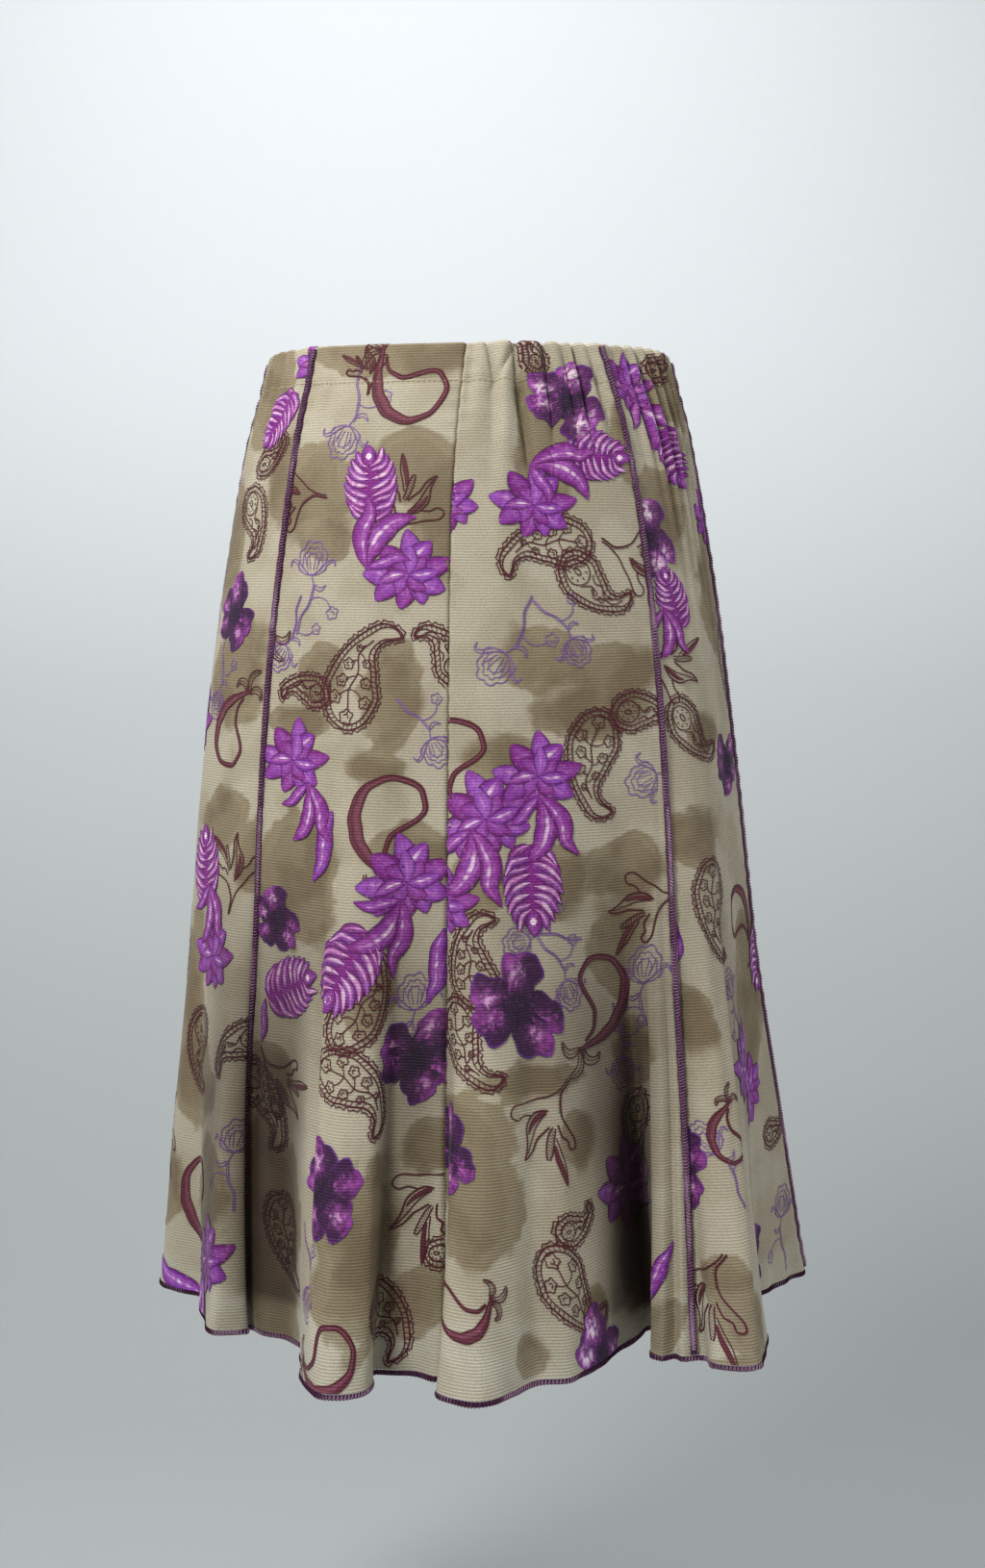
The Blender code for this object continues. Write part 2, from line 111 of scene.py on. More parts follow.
FOLDS = (  # one row for each ridge and valley of the hem, round from centre back
    # name, crown x, crown y, width, rise of the crown, facing, depth where it starts
    ("dip_back_left", 0.042, 0.1755, 0.024, -0.001, 4, 0.18),
    ("flute_back_left", 0.078, 0.2235, 0.038, 0.014, 16, 0.15),
    ("hollow_back_left", 0.124, 0.1170, 0.046, 0.001, 35, 0.15),
    ("flute_side_back_left", 0.157, 0.1215, 0.029, 0.013, 22, 0.22),
    ("dip_side_back_left", 0.174, 0.0600, 0.030, -0.001, 80, 0.25),
    ("flute_side_left", 0.2105, 0.0040, 0.051, 0.007, 90, 0.21),
    ("hollow_side_left", 0.172, -0.0530, 0.028, -0.003, 113, 0.21),
    ("flute_side_front_left", 0.226, -0.1180, 0.052, 0.018, 115, 0.18),
    ("hollow_side_front_left", 0.150, -0.1040, 0.030, -0.006, 135, 0.17),
    ("flute_front_left", 0.086, -0.2090, 0.046, 0.018, 155, 0.16),
    ("hollow_front_left", 0.030, -0.1330, 0.030, -0.006, 170, 0.16),
    ("flute_front_right", -0.032, -0.2170, 0.044, 0.018, 190, 0.19),
    ("hollow_front_right", -0.090, -0.1290, 0.030, -0.006, 215, 0.17),
    ("flute_side_front_right", -0.148, -0.1760, 0.036, 0.014, 222, 0.18),
    ("hollow_side_front_right", -0.172, -0.0880, 0.030, -0.006, 240, 0.18),
    ("flute_side_right", -0.228, -0.0660, 0.040, 0.009, 262, 0.21),
    ("edge_side_right", -0.232, -0.0020, 0.036, 0.008, 285, 0.21),
    ("hollow_side_right", -0.194, 0.0480, 0.024, -0.002, 300, 0.19),
    ("flute_side_back_right", -0.170, 0.1905, 0.034, 0.014, 338, 0.17),
    ("notch_side_back_right", -0.137, 0.1660, 0.012, -0.001, 352, 0.17),
    ("flute_edge_right", -0.119, 0.1650, 0.014, 0.007, 15, 0.19),
    ("hollow_back_right", -0.116, 0.0980, 0.012, -0.002, 320, 0.19),
    ("slope_back_right", -0.062, 0.1920, 0.036, 0.008, 330, 0.16),
    ("flute_back_right", -0.008, 0.2315, 0.043, 0.0155, 358, 0.14),
    ("notch_back", 0.012, 0.1870, 0.008, -0.001, 20, 0.14),
)

# ---------------------------------------------------------------- sizes of the finer cloth

CLOTH = 0.8 * MM                  # thickness of the printed knit
SEAM_CELLS = (0.0, 0.12, 0.30, 0.60)         # columns close together beside a seam, in cells
PLAIN_CELLS = 84
CELLS_PER_GORE = PLAIN_CELLS - 1 + 2 * len(SEAM_CELLS) - 1
NEAR_STEP, NEAR_DEPTH = 2.6 * MM, 0.060      # rows close together over the gathers
FAR_STEP = 6.0 * MM
FLAP_ROWS = 6
TURN_ANGLES = (180, 157, 135, 112, 90, 68, 45, 22, 0)
WALL_END = LENGTH - HEM_EDGE_HEIGHT - GAP
HEM_INSET = 0.2 * MM              # of the hem's thread above the full length

GATHERS = (  # troughs (below 0) and ridges that run down from the waist
    # place, rise mm, half width mm, reach mm, drift in gores by its end
    (0.80, -0.9, 4.0, 60, 0.02),
    (0.93, -1.0, 3.0, 70, 0.01),
    (1.09, 1.6, 3.5, 70, 0.02),
    (1.22, -2.4, 3.0, 80, 0.03),
    (1.37, -2.8, 2.8, 100, 0.04),
    (1.52, -3.0, 2.6, 90, 0.04),
    (1.66, -3.0, 2.6, 110, 0.02),
    (1.78, -2.8, 2.6, 90, 0.02),
    (1.90, -2.6, 2.4, 100, 0.02),
    (6.04, -3.2, 2.6, 120, -0.04),
    (6.14, -3.8, 2.6, 120, -0.05),
    (6.20, 1.6, 1.8, 210, -0.07),
    (6.25, -4.4, 2.6, 150, -0.07),
    (6.31, 2.0, 1.8, 230, -0.09),
    (6.37, -4.4, 2.4, 140, -0.09),
    (6.43, 2.2, 1.8, 250, -0.12),
    (6.48, -4.8, 2.4, 190, -0.14),
    (6.54, 2.4, 1.8, 260, -0.15),
    (6.595, -4.6, 2.3, 190, -0.15),
    (6.65, 2.4, 1.8, 240, -0.15),
    (6.70, -4.8, 2.4, 190, -0.14),
    (6.755, 2.0, 1.8, 200, -0.13),
    (6.80, -4.2, 2.3, 130, -0.11),
    (6.90, -3.8, 2.4, 90, -0.08),
    (7.04, 1.4, 3.0, 90, 0.00),
    (7.10, -3.4, 2.6, 80, 0.00),
    (7.155, 1.6, 2.8, 90, 0.01),
    (7.225, -6.4, 1.9, 60, 0.02),
    (7.26, 1.8, 2.4, 80, 0.02),
    (7.31, -3.6, 2.4, 70, 0.02),
    (7.38, 2.4, 3.4, 100, 0.02),
    (7.455, -6.4, 2.0, 70, 0.02),
    (7.56, 3.4, 6.0, 150, 0.02),
    (7.650, -11.0, 2.2, 85, -0.06),
    (7.615, 3.0, 2.6, 70, -0.06),
    (7.60, -2.6, 7.0, 190, -0.04),
    (7.735, 4.8, 5.0, 150, 0.00),
    (7.80, -1.4, 3.0, 80, 0.00),
    (7.885, 2.0, 4.2, 60, 0.01),
    (7.955, -1.0, 2.2, 45, 0.00),
)
FRONT_GORES, FRONT_GATHERS = (2, 3, 4, 5), 8         # the front's gathers, by a rule
FRONT_RISE, FRONT_HALF_WIDTH, FRONT_REACH = -1.35, 2.1, 80      # mm, each uneven round it
GATHER_SPREAD = 1.6       # a gather is this much wider at its end
GATHER_LIFT = (0.3, 2.2, 2.2, 2.0, 2.0, 2.6, 4.4, 3.0)     # mean of each gore, mm
DEEPEST = (  # how far the cloth may go inwards, to clear the elastic and the lining
    # depth mm, rise mm
    (0, -0.40), (26, -0.40), (34, -1.6), (60, -3.4), (120, -5.0), (634, -6.0),
)
FLOOR_BEND = 0.25         # mm over which the cloth bends as it reaches that floor
EDGE_WAVE = 0.35          # the top edge rises this share of its gathers
FLAP_SHARE = 0.35         # and the turned-in flap follows this share of its troughs
GATHER_START = 0.55       # strength of a gather at the top edge, 1 from the stitches down
GATHER_FADE = 120         # mm below the stitches over which the mean lift ends

CREASES = (  # soft drag lines, and at the end of the table the small V in the casing
    # place at the top, place at the bottom, top mm, bottom mm, rise mm, half width mm
    (0.18, 0.14, 180, 620, -1.2, 9),
    (0.33, 0.30, 240, 560, 1.0, 11),
    (0.52, 0.47, 200, 520, -1.3, 8),
    (0.66, 0.60, 120, 420, 1.2, 7),
    (0.74, 0.70, 150, 460, -1.2, 6),
    (1.25, 1.30, 160, 540, -1.4, 8),
    (1.60, 1.66, 130, 480, 1.2, 8),
    (2.30, 2.38, 200, 580, -1.4, 9),
    (2.72, 2.66, 140, 500, 1.3, 8),
    (3.22, 3.28, 170, 560, -1.4, 9),
    (3.61, 3.55, 120, 470, 1.2, 8),
    (4.28, 4.33, 160, 540, -1.3, 9),
    (4.70, 4.64, 190, 580, 1.2, 8),
    (5.31, 5.24, 140, 500, -1.4, 8),
    (5.68, 5.74, 180, 560, 1.2, 9),
    (6.30, 6.38, 130, 430, -1.3, 7),
    (6.66, 6.72, 170, 560, 1.2, 8),
    (7.22, 7.27, 180, 600, -1.2, 9),
    (7.48, 7.52, 120, 420, 1.1, 8),
    (7.64, 7.62, 110, 330, -1.6, 6),
    (7.80, 7.78, 150, 560, 1.0, 10),
    (0.60, 0.545, 300, 660, -5.0, 7),
    (0.555, 0.50, 300, 660, 2.0, 5),
    (0.99, 0.985, 330, 660, -4.0, 8),
    (6.60, 6.775, 360, 680, -5.5, 8),
    (6.665, 6.835, 360, 680, 2.2, 6),
    (7.175, 7.135, 380, 680, -5.0, 6),
    (7.13, 7.095, 380, 680, 1.8, 4),
    (7.906, 7.762, -16, 36, -2.8, 1.5),
    (7.591, 7.831, -16, 36, -2.8, 1.5),
    (7.80, 7.79, -30, 30, 1.6, 4),
)

CREASE_WIDTH = (0.7, 1.3)                                          # share at top and bottom
SEAM_DIP = {"depth": 1.9, "half width": 0.9}                       # mm, along a plain seam
SEAM_PUCKER = {"rise": 0.35, "half width": 8.0, "pitch": 13.0}     # mm, beside every seam
STITCH_GROOVE = {"depth": 0.6, "half width": 1.6}                  # mm, at the casing's stitches
HEM_RIPPLE = {"rise": 1.1, "height": 28.0, "count": 62}            # mm, and waves round the hem
UNEVEN = 0.35                                                      # mm, of the hanging cloth
UNEVEN_START, UNEVEN_DEPTH = 0.4, 200                              # share on top, full from, mm
UNEVEN_WAVES = ((11, 47, 0.0), (17, -33, 1.3), (29, 71, 0.4))      # waves round, mm down, turn


# ---------------------------------------------------------------- curves, as in the part

def smooth_through(xs, ys, x):
    """Monotone cubic through (xs, ys): no overshoot between two rows of a table."""
    xs, ys = np.asarray(xs, float), np.asarray(ys, float)
    step = np.diff(xs)
    slope = np.diff(ys) / step
    tangent = np.zeros(len(xs))
    tangent[0], tangent[-1] = slope[0], slope[-1]
    same_sign = slope[:-1] * slope[1:] > 0
    inner = np.zeros(len(xs) - 2)
    inner[same_sign] = 2 / (1 / slope[:-1][same_sign] + 1 / slope[1:][same_sign])
    tangent[1:-1] = inner
    i = np.clip(np.searchsorted(xs, x) - 1, 0, len(step) - 1)
    t = np.clip((x - xs[i]) / step[i], 0, 1)
    start, end = ys[i], ys[i + 1]
    return (start + t * step[i] * tangent[i] * (1 - t) ** 2
            + (end - start) * t * t * (3 - 2 * t)
            - t * t * (1 - t) * step[i] * tangent[i + 1])


def closed_spline(points, steps):
    """Centripetal Catmull-Rom curve through a closed list of points."""
    curve = []
    count = len(points)
    for i in range(count):
        p = [points[(i + k - 1) % count] for k in range(4)]
        knots = [0.0]
        for k in range(3):
            knots.append(knots[-1] + math.sqrt(np.linalg.norm(p[k + 1] - p[k])))
        for step in range(steps):
            t = knots[1] + (knots[2] - knots[1]) * step / steps
            level = list(p)
            for span in (1, 2, 3):
                level = blend_level(level, knots, span, t)
            curve.append(level[0])
    return np.array(curve)


def blend_level(level, knots, span, t):
    """One level of the Catmull-Rom pyramid: neighbours blended over their knots."""
    if span < 3:
        pairs = [(k, k + span) for k in range(len(level) - 1)]
    else:
        pairs = [(1, 2)]
    return [
        ((knots[b] - t) * level[k] + (t - knots[a]) * level[k + 1]) / (knots[b] - knots[a])
        for k, (a, b) in enumerate(pairs)
    ]


def smoothstep(x):
    x = np.clip(x, 0, 1)
    return x * x * (3 - 2 * x)


def settle(x):
    """From 0 to 1, fast at first and then ever slower."""
    return 1 - (1 - np.clip(x, 0, 1)) ** 3


def bell(x):
    return np.exp(-x * x)


def unit(vectors):
    """The same directions with length 1."""
    return vectors / np.maximum(np.linalg.norm(vectors, axis=-1, keepdims=True), 1e-9)


def headings(points, closed):
    """Directions along a line."""
    if closed:
        return unit(np.roll(points, -1, axis=0) - np.roll(points, 1, axis=0))
    return unit(np.gradient(points, axis=0))


def arc_along(points):
    """How far each point of a line lies along it."""
    return np.concatenate(([0], np.cumsum(np.linalg.norm(np.diff(points, axis=0), axis=1))))


def at_arc(places, arc, values):
    """A line's values at places along it."""
    return np.stack([np.interp(places, arc, column) for column in values.T], axis=1)


def direction(azimuth):
    """Outward direction at an azimuth in degrees."""
    return np.array((math.sin(math.radians(azimuth)), math.cos(math.radians(azimuth))))


def fold_points(row):
    """A ridge or valley of the hem: its two ends and its crown."""
    _, x, y, width, rise, facing, _ = row
    outward = direction(facing)
    along = np.array((outward[1], -outward[0]))
    crown = np.array((x, y))
    middle = crown - rise * outward
    return [middle - along * width / 2, crown, middle + along * width / 2]


def hem_outline():
    """The hem's outline as a fine closed curve, and the depth where each point's fold starts."""
    points = [point for row in FOLDS for point in fold_points(row)]
    outline = closed_spline(points, SPLINE_STEPS)
    count = len(outline)
    crowns = [(3 * i + 1) * SPLINE_STEPS for i in range(len(FOLDS))]
    starts = [row[6] for row in FOLDS]
    crowns = [crowns[-1] - count] + crowns + [crowns[0] + count]
    starts = [starts[-1]] + starts + [starts[0]]
    return outline, smooth_through(crowns, starts, np.arange(count))


def seam_positions(outline):
    """Index on the outline where each seam reaches the hem, rising from the first seam."""
    places = []
    for _, _, _, x, y in SEAMS:
        places.append(int(np.argmin(np.hypot(outline[:, 0] - x, outline[:, 1] - y))))
    first = places[0]
    return [first + (place - first) % len(outline) for place in places] + [first + len(outline)]


# ---------------------------------------------------------------- the cloth surface

# Lines that run down the cloth: azimuths, places on the hem, fold starts and places round it
Columns = namedtuple("Columns", "waist hip hem start place")


def gore_columns(outline, starts, first, last, seam, next_seam, gore):
    """Columns of one gore without its second seam, closer together where the hem turns."""
    picks = np.arange(first, last + 1) % len(outline)
    points = outline[picks]
    steps = np.diff(points, axis=0)
    arc = arc_along(points)
    heading = np.unwrap(np.arctan2(steps[:, 1], steps[:, 0]))
    turning = np.concatenate(([0, 0], np.cumsum(np.abs(np.diff(heading)))))
    weight = arc + TURN_WEIGHT * turning
    near = list(SEAM_CELLS)
    cells = np.array(near + list(range(1, PLAIN_CELLS)) + [PLAIN_CELLS - c for c in near[:0:-1]])
    place = np.interp(cells / PLAIN_CELLS * weight[-1], weight, arc)
    share = place / arc[-1]
    waist, hip = (np.radians(a + (b - a) * share) for a, b in zip(seam, next_seam))
    start = np.interp(place, arc, starts[picks])
    return waist, hip, at_arc(place, arc, points), start, gore + share


def all_columns():
    """Every column round the skirt. Column k * CELLS_PER_GORE lies on seam k."""
    outline, starts = hem_outline()
    places = seam_positions(outline)
    azimuths = [(row[1], row[2]) for row in SEAMS]
    azimuths.append((azimuths[0][0] + 360, azimuths[0][1] + 360))
    parts = [
        gore_columns(outline, starts, places[k], places[k + 1], azimuths[k], azimuths[k + 1], k)
        for k in range(len(SEAMS))
    ]
    return Columns(*(np.concatenate([part[i] for part in parts]) for i in range(5)))


def ring_point(rings, azimuth, depth, inset=0.0):
    """Point of an oval ring at an azimuth (radians) and depth, moved in by the inset."""
    depths, *sizes = zip(*rings)
    width, back, front = (smooth_through(depths, size, depth) for size in sizes)
    sine, cosine = np.sin(azimuth), np.cos(azimuth)
    reach = np.where(cosine >= 0, back, front)
    outward = unit(np.stack([sine * reach, cosine * width], axis=-1))
    inset = np.asarray(inset)[..., None]
    return np.stack([width * sine, reach * cosine], axis=-1) - inset * outward, outward


def height(azimuth, depth):
    """Height of the cloth at a depth below its top edge, which isn't quite level."""
    top = (TOP_EDGE["mean"] - TOP_EDGE["front"] * np.cos(azimuth)
           - TOP_EDGE["sides"] * np.cos(2 * azimuth))
    hem = HEM_EDGE["mean"] - HEM_EDGE["sides"] * np.cos(2 * azimuth)
    return top + (hem - top) * depth / LENGTH


def wall_row(columns, depth):
    """Middle of the outer cloth along one row, before its gathers and creases."""
    azimuth = columns.waist + (columns.hip - columns.waist) * settle(depth / HIP_DEPTH)
    ring, _ = ring_point(RINGS, azimuth, depth)
    hem_ring, _ = ring_point(RINGS, azimuth, LENGTH)
    share = np.clip((depth - columns.start) / (LENGTH - columns.start), 0, 1)
    flat = ring + (share ** FOLD_GROWTH)[:, None] * (columns.hem - hem_ring)
    return np.column_stack([flat, height(azimuth, depth)])


def around_from(place, other):
    """Signed way round from a place to another, in gores, the short way."""
    count = len(GORES)
    return (other - place + count / 2) % count - count / 2


def gather_rows():
    """The gathers of the table, and similar ones on the front."""
    rows = list(GATHERS)
    for gore in FRONT_GORES:
        for i in range(FRONT_GATHERS):
            phase = 2.4 * (gore * FRONT_GATHERS + i)
            place = gore + (i + 0.5 + 0.22 * math.sin(phase)) / FRONT_GATHERS
            rise = FRONT_RISE - 0.4 * math.sin(1.7 * phase)
            half_width = FRONT_HALF_WIDTH + 0.4 * math.cos(phase)
            reach = FRONT_REACH + 26 * math.cos(2.3 * phase)
            rows.append((place, rise, half_width, reach, 0.03 * math.sin(3 * phase)))
    return rows


def gather_relief(place, depth_mm, gore_width):
    """How far the gathers lift the cloth, in mm."""
    relief = np.zeros_like(place)
    for middle, rise, half_width, reach, drift in gather_rows():
        down = np.clip((depth_mm - CASING / MM) / reach, 0, 1)
        growth = GATHER_START + (1 - GATHER_START) * smoothstep(depth_mm / (CASING / MM))
        strength = rise * growth * (1 - smoothstep(down))
        if np.all(strength == 0):
            continue
        distance = around_from(middle + drift * down, place) * gore_width / MM
        relief += strength * bell(distance / (half_width * (1 + (GATHER_SPREAD - 1) * down)))
    fade = 1 - smoothstep((depth_mm - CASING / MM) / GATHER_FADE)
    middles = np.arange(-1, len(GORES) + 1) + 0.5
    lift = np.interp(place, middles, GATHER_LIFT[-1:] + GATHER_LIFT + GATHER_LIFT[:1])
    return relief + lift * fade


def crease_relief(place, depth_mm, gore_width):
    """How far the creases lift the cloth, in mm."""
    relief = np.zeros_like(place)
    at_top, at_bottom = CREASE_WIDTH
    for top_place, low_place, top, low, rise, half_width in CREASES:
        down = (depth_mm - top) / (low - top)
        if down <= 0 or down >= 1:
            continue
        middle = top_place + (low_place - top_place) * down
        distance = around_from(middle, place) * gore_width / MM
        spread = half_width * (at_top + (at_bottom - at_top) * down)
        relief += rise * math.sin(math.pi * down) * bell(distance / spread)
    return relief


def seam_relief(place, depth_mm, gore_width):
    """A plain seam's groove, and the small puckers beside every seam."""
    nearest = np.round(place)
    distance = (place - nearest) * gore_width / MM
    plain = np.isin(nearest % len(GORES), PLAIN_SEAMS)
    dip = np.where(plain, SEAM_DIP["depth"] * bell(distance / SEAM_DIP["half width"]), 0)
    wave = np.sin(2 * math.pi * depth_mm / SEAM_PUCKER["pitch"] + 1.9 * nearest
                  + 2.2 * math.sin(depth_mm / 41))
    pucker = SEAM_PUCKER["rise"] * wave * bell(distance / SEAM_PUCKER["half width"])
    return pucker - dip


def soft_unevenness(place, depth_mm):
    """The gentle unevenness of hanging knit, in mm."""
    turn = 2 * math.pi * place / len(GORES)
    waves = sum(np.sin(count * turn + depth_mm / fall + shift) for count, fall, shift in UNEVEN_WAVES)
    growth = UNEVEN_START + (1 - UNEVEN_START) * min(depth_mm / UNEVEN_DEPTH, 1)
    return UNEVEN * waves / len(UNEVEN_WAVES) * growth


def relief(columns, depth, gore_width):
    """Everything that the finer cloth adds to the plain surface, in metres outward."""
    depth_mm = depth / MM
    place = columns.place
    groove = STITCH_GROOVE["depth"] * bell((depth - CASING) / MM / STITCH_GROOVE["half width"])
    near_hem = smoothstep(1 - (LENGTH - depth) / MM / HEM_RIPPLE["height"])
    turn = 2 * math.pi * place / len(GORES)
    ripple = np.sin(HEM_RIPPLE["count"] * turn + 1.5 * np.sin(9 * turn))
    total = (gather_relief(place, depth_mm, gore_width) + crease_relief(place, depth_mm, gore_width)
             + seam_relief(place, depth_mm, gore_width) + soft_unevenness(place, depth_mm)
             + HEM_RIPPLE["rise"] * near_hem * ripple - groove)
    floor = smooth_through(*zip(*DEEPEST), depth_mm)
    above = total - floor
    return (floor + (above + np.sqrt(above ** 2 + 4 * FLOOR_BEND ** 2)) / 2) * MM


def grid_normals(grid):
    """Outward directions on a grid closed round its columns."""
    around = np.roll(grid, -1, axis=1) - np.roll(grid, 1, axis=1)
    return unit(np.cross(around, np.gradient(grid, axis=0)))


def row_widths(row):
    """Width of each gore along one row of points."""
    steps = np.linalg.norm(np.roll(row, -1, axis=0) - row, axis=1)
    return steps.reshape(len(GORES), CELLS_PER_GORE).sum(axis=1)


class Surface:
    """The finished middle of the outer cloth, row by row, with where each point lies flat."""

    def __init__(self):
        self.columns = all_columns()
        near = np.arange(TURN_RADIUS + CLOTH / 2, NEAR_DEPTH, NEAR_STEP)
        far = np.linspace(near[-1], WALL_END, int((WALL_END - near[-1]) / FAR_STEP) + 1)[1:]
        self.depths = np.concatenate((near, far, (LENGTH - HEM_EDGE_HEIGHT, LENGTH - HEM_INSET)))
        plain = np.stack([wall_row(self.columns, depth) for depth in self.depths])
        normals = grid_normals(plain)
        self.widths = np.stack([row_widths(row) for row in plain])
        gore = self.columns.place.astype(int)
        lifts = [
            relief(self.columns, depth, self.widths[r][gore]) for r, depth in enumerate(self.depths)
        ]
        self.outer = plain + np.stack(lifts)[:, :, None] * normals
        self.casing = self.casing_rows(lifts[0])
        self.grid = np.concatenate((self.casing, self.outer))
        self.normals = grid_normals(self.grid)
        self.casing_end = len(self.casing)
        self.wall_end = len(self.grid) - 2       # the last two rows belong to the hem's edge
        self.across, self.down = self.flat_places(plain)

    def casing_rows(self, top_lift):
        """Rows of the turned-over top edge, from the flap's lower edge up and over."""
        columns = self.columns
        ring_centre = TURN_RADIUS + CLOTH / 2
        inner = -2 * TURN_RADIUS + FLAP_SHARE * np.minimum(top_lift, 0)
        rows = []
        for depth in np.linspace(CASING, ring_centre, FLAP_ROWS, endpoint=False):
            flap, _ = ring_point(RINGS, columns.waist, depth, inset=-inner)
            rows.append(np.column_stack([flap, height(columns.waist, depth)]))
        ring, outward = ring_point(RINGS, columns.waist, ring_centre)
        for angle in TURN_ANGLES[:-1]:
            turn = math.radians(angle)
            offset = (top_lift + inner) / 2 + (top_lift - inner) / 2 * math.cos(turn)
            wave = EDGE_WAVE * top_lift * math.sin(turn)
            level = height(columns.waist, ring_centre) + TURN_RADIUS * math.sin(turn) + wave
            rows.append(np.column_stack([ring + offset[:, None] * outward, level]))
        return np.stack(rows)

    def flat_places(self, plain):
        """Where each point lies on its flat gore: across from its middle, and down."""
        steps = np.linalg.norm(np.roll(plain, -1, axis=1) - plain, axis=-1)
        steps = steps.reshape(len(plain), len(GORES), CELLS_PER_GORE)
        ends = np.cumsum(steps, axis=2)
        starts = ends - steps
        across = (starts - ends[:, :, -1:] / 2).reshape(len(plain), -1)
        down = np.repeat(self.depths[:, None], across.shape[1], axis=1)
        rows = self.grid[:self.casing_end + 1]
        steps = np.linalg.norm(np.diff(rows, axis=0), axis=-1).mean(axis=1)
        over = self.depths[0] - np.cumsum(steps[::-1])[::-1]
        across = np.concatenate((np.repeat(across[:1], len(over), axis=0), across))
        down = np.concatenate((np.repeat(over[:, None], down.shape[1], axis=1), down))
        return across, down

    def strips(self, gore):
        """One gore's points, directions and flat places, with an edge just short of each seam."""
        count = self.grid.shape[1]
        picks = [(gore * CELLS_PER_GORE + i) % count for i in range(CELLS_PER_GORE + 1)]
        rows = slice(0, self.wall_end)
        points = self.grid[rows][:, picks].copy()
        normals = self.normals[rows][:, picks]
        across = self.across[rows][:, picks].copy()
        across[:, -1] = -across[:, 0]
        for edge, beside in ((0, 1), (-1, -2)):
            points[:, edge] += unit(points[:, beside] - points[:, edge]) * GAP / 2
        return points, normals, across, self.down[rows][:, picks]

    def lay(self, gore, across, down, lift):
        """Points on the outside of a gore from flat places, their normals, and which edge each
        one lies beyond: 1 and 2 at the sides, 3 above and 4 below, or 0."""
        points, normals, flat_across, flat_down = self.strips(gore)
        top = self.casing_end - TURN_ANGLES[::-1].index(90) - 1       # row of the top edge itself
        rows = flat_down[:, 0]
        row = np.clip(np.searchsorted(rows, down) - 1, top, len(rows) - 2)
        share_down = (down - rows[row]) / (rows[row + 1] - rows[row])
        beyond = np.where(share_down < 0, 3, np.where(share_down > 1, 4, 0))
        share_down = np.clip(share_down, 0, 1)
        lines = flat_across[row] + (flat_across[row + 1] - flat_across[row]) * share_down[:, None]
        column = np.clip((lines < across[:, None]).sum(axis=1) - 1, 0, lines.shape[1] - 2)
        number = np.arange(len(across))
        left, right = lines[number, column], lines[number, column + 1]
        share_across = (across - left) / (right - left)
        beyond = np.where(share_across < 0, 1, np.where(share_across > 1, 2, beyond))
        u, v = np.clip(share_across, 0, 1)[:, None], share_down[:, None]
        laid = []
        for values in (points, normals):
            upper = values[row, column] * (1 - u) + values[row, column + 1] * u
            lower = values[row + 1, column] * (1 - u) + values[row + 1, column + 1] * u
            laid.append(upper * (1 - v) + lower * v)
        normal = unit(laid[1])
        return laid[0] + normal * (CLOTH / 2 + lift)[:, None], normal, beyond


# ---------------------------------------------------------------- meshes

TUBE_SIDES = 4


def quad_grid(rows, columns, first=0, closed=False, looped=False, flip=False):
    """Corner numbers of the quads on a grid of points, which may close round columns or rows."""
    row = np.arange(rows if looped else rows - 1)[:, None]
    column = np.arange(columns if closed else columns - 1)[None, :]
    below, after = (row + 1) % rows * columns, (column + 1) % columns
    corners = (row * columns + column, row * columns + after, below + after, below + column)
    quads = np.stack(corners, axis=-1).reshape(-1, 4) + first
    return quads[:, ::-1] if flip else quads


def shell_quads(rows, columns):
    """Quads of a thin shell: outer side, inner side, then the rim round its four edges."""
    inner = rows * columns
    number = np.arange(inner).reshape(rows, columns)
    rim = np.concatenate((number[0], number[1:, -1], number[-1, -2::-1], number[-2:0:-1, 0]))
    after = np.roll(rim, -1)
    edge = np.stack((after, rim, rim + inner, after + inner), axis=-1)
    outside = quad_grid(rows, columns)
    inside = quad_grid(rows, columns, first=inner, flip=True)
    return outside, inside, edge


def make_mesh(name, points, quads, material, smooth_angle=50):
    """A piece in the scene, smooth but for edges sharper than the angle in degrees."""
    mesh = bpy.data.meshes.new(name)
    mesh.from_pydata(points.reshape(-1, 3).tolist(), [], quads.tolist())
    mesh.materials.append(material)
    mesh.shade_smooth()
    mesh.set_sharp_from_angle(angle=math.radians(smooth_angle))
    mesh.validate()
    piece = bpy.data.objects.new(name, mesh)
    bpy.context.scene.collection.objects.link(piece)
    return piece


def corner_vectors(piece, name, values):
    """A vector for each face corner."""
    attribute = piece.data.attributes.new(name, "FLOAT_VECTOR", "CORNER")
    attribute.data.foreach_set("vector", np.ascontiguousarray(values, dtype=np.float32).ravel())


def dress(piece, slot, *nodes):
    """The piece rides on the body and stands for its solids."""
    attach(piece, "root")
    if nodes:
        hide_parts(*nodes)


def tube(centre, reference, radius, closed=False):
    """Points and quads of a square tube along a line, with a reference direction at each point."""
    along = headings(centre, closed)
    side = unit(np.cross(along, reference))
    up = np.cross(side, along)
    angles = (2 * math.pi * np.arange(TUBE_SIDES) / TUBE_SIDES)[None, :, None]
    ring = np.cos(angles) * side[:, None] + np.sin(angles) * up[:, None]
    points = centre[:, None] + radius * ring
    return points.reshape(-1, 3), quad_grid(len(centre), TUBE_SIDES, closed=True, looped=closed)


def join(parts):
    """Several (points, quads) as one."""
    points, quads, first = [], [], 0
    for part_points, part_quads in parts:
        points.append(part_points)
        quads.append(part_quads + first)
        first += len(part_points)
    return np.concatenate(points), np.concatenate(quads)


# ---------------------------------------------------------------- the print's motifs

def srgb(*screen):
    """A colour as read off a screen, 0 to 255, in the shader's own values."""
    linear = [((v / 255 + 0.055) / 1.055) ** 2.4 if v > 10 else v / 255 / 12.92 for v in screen]
    return tuple(linear) + (1.0,)


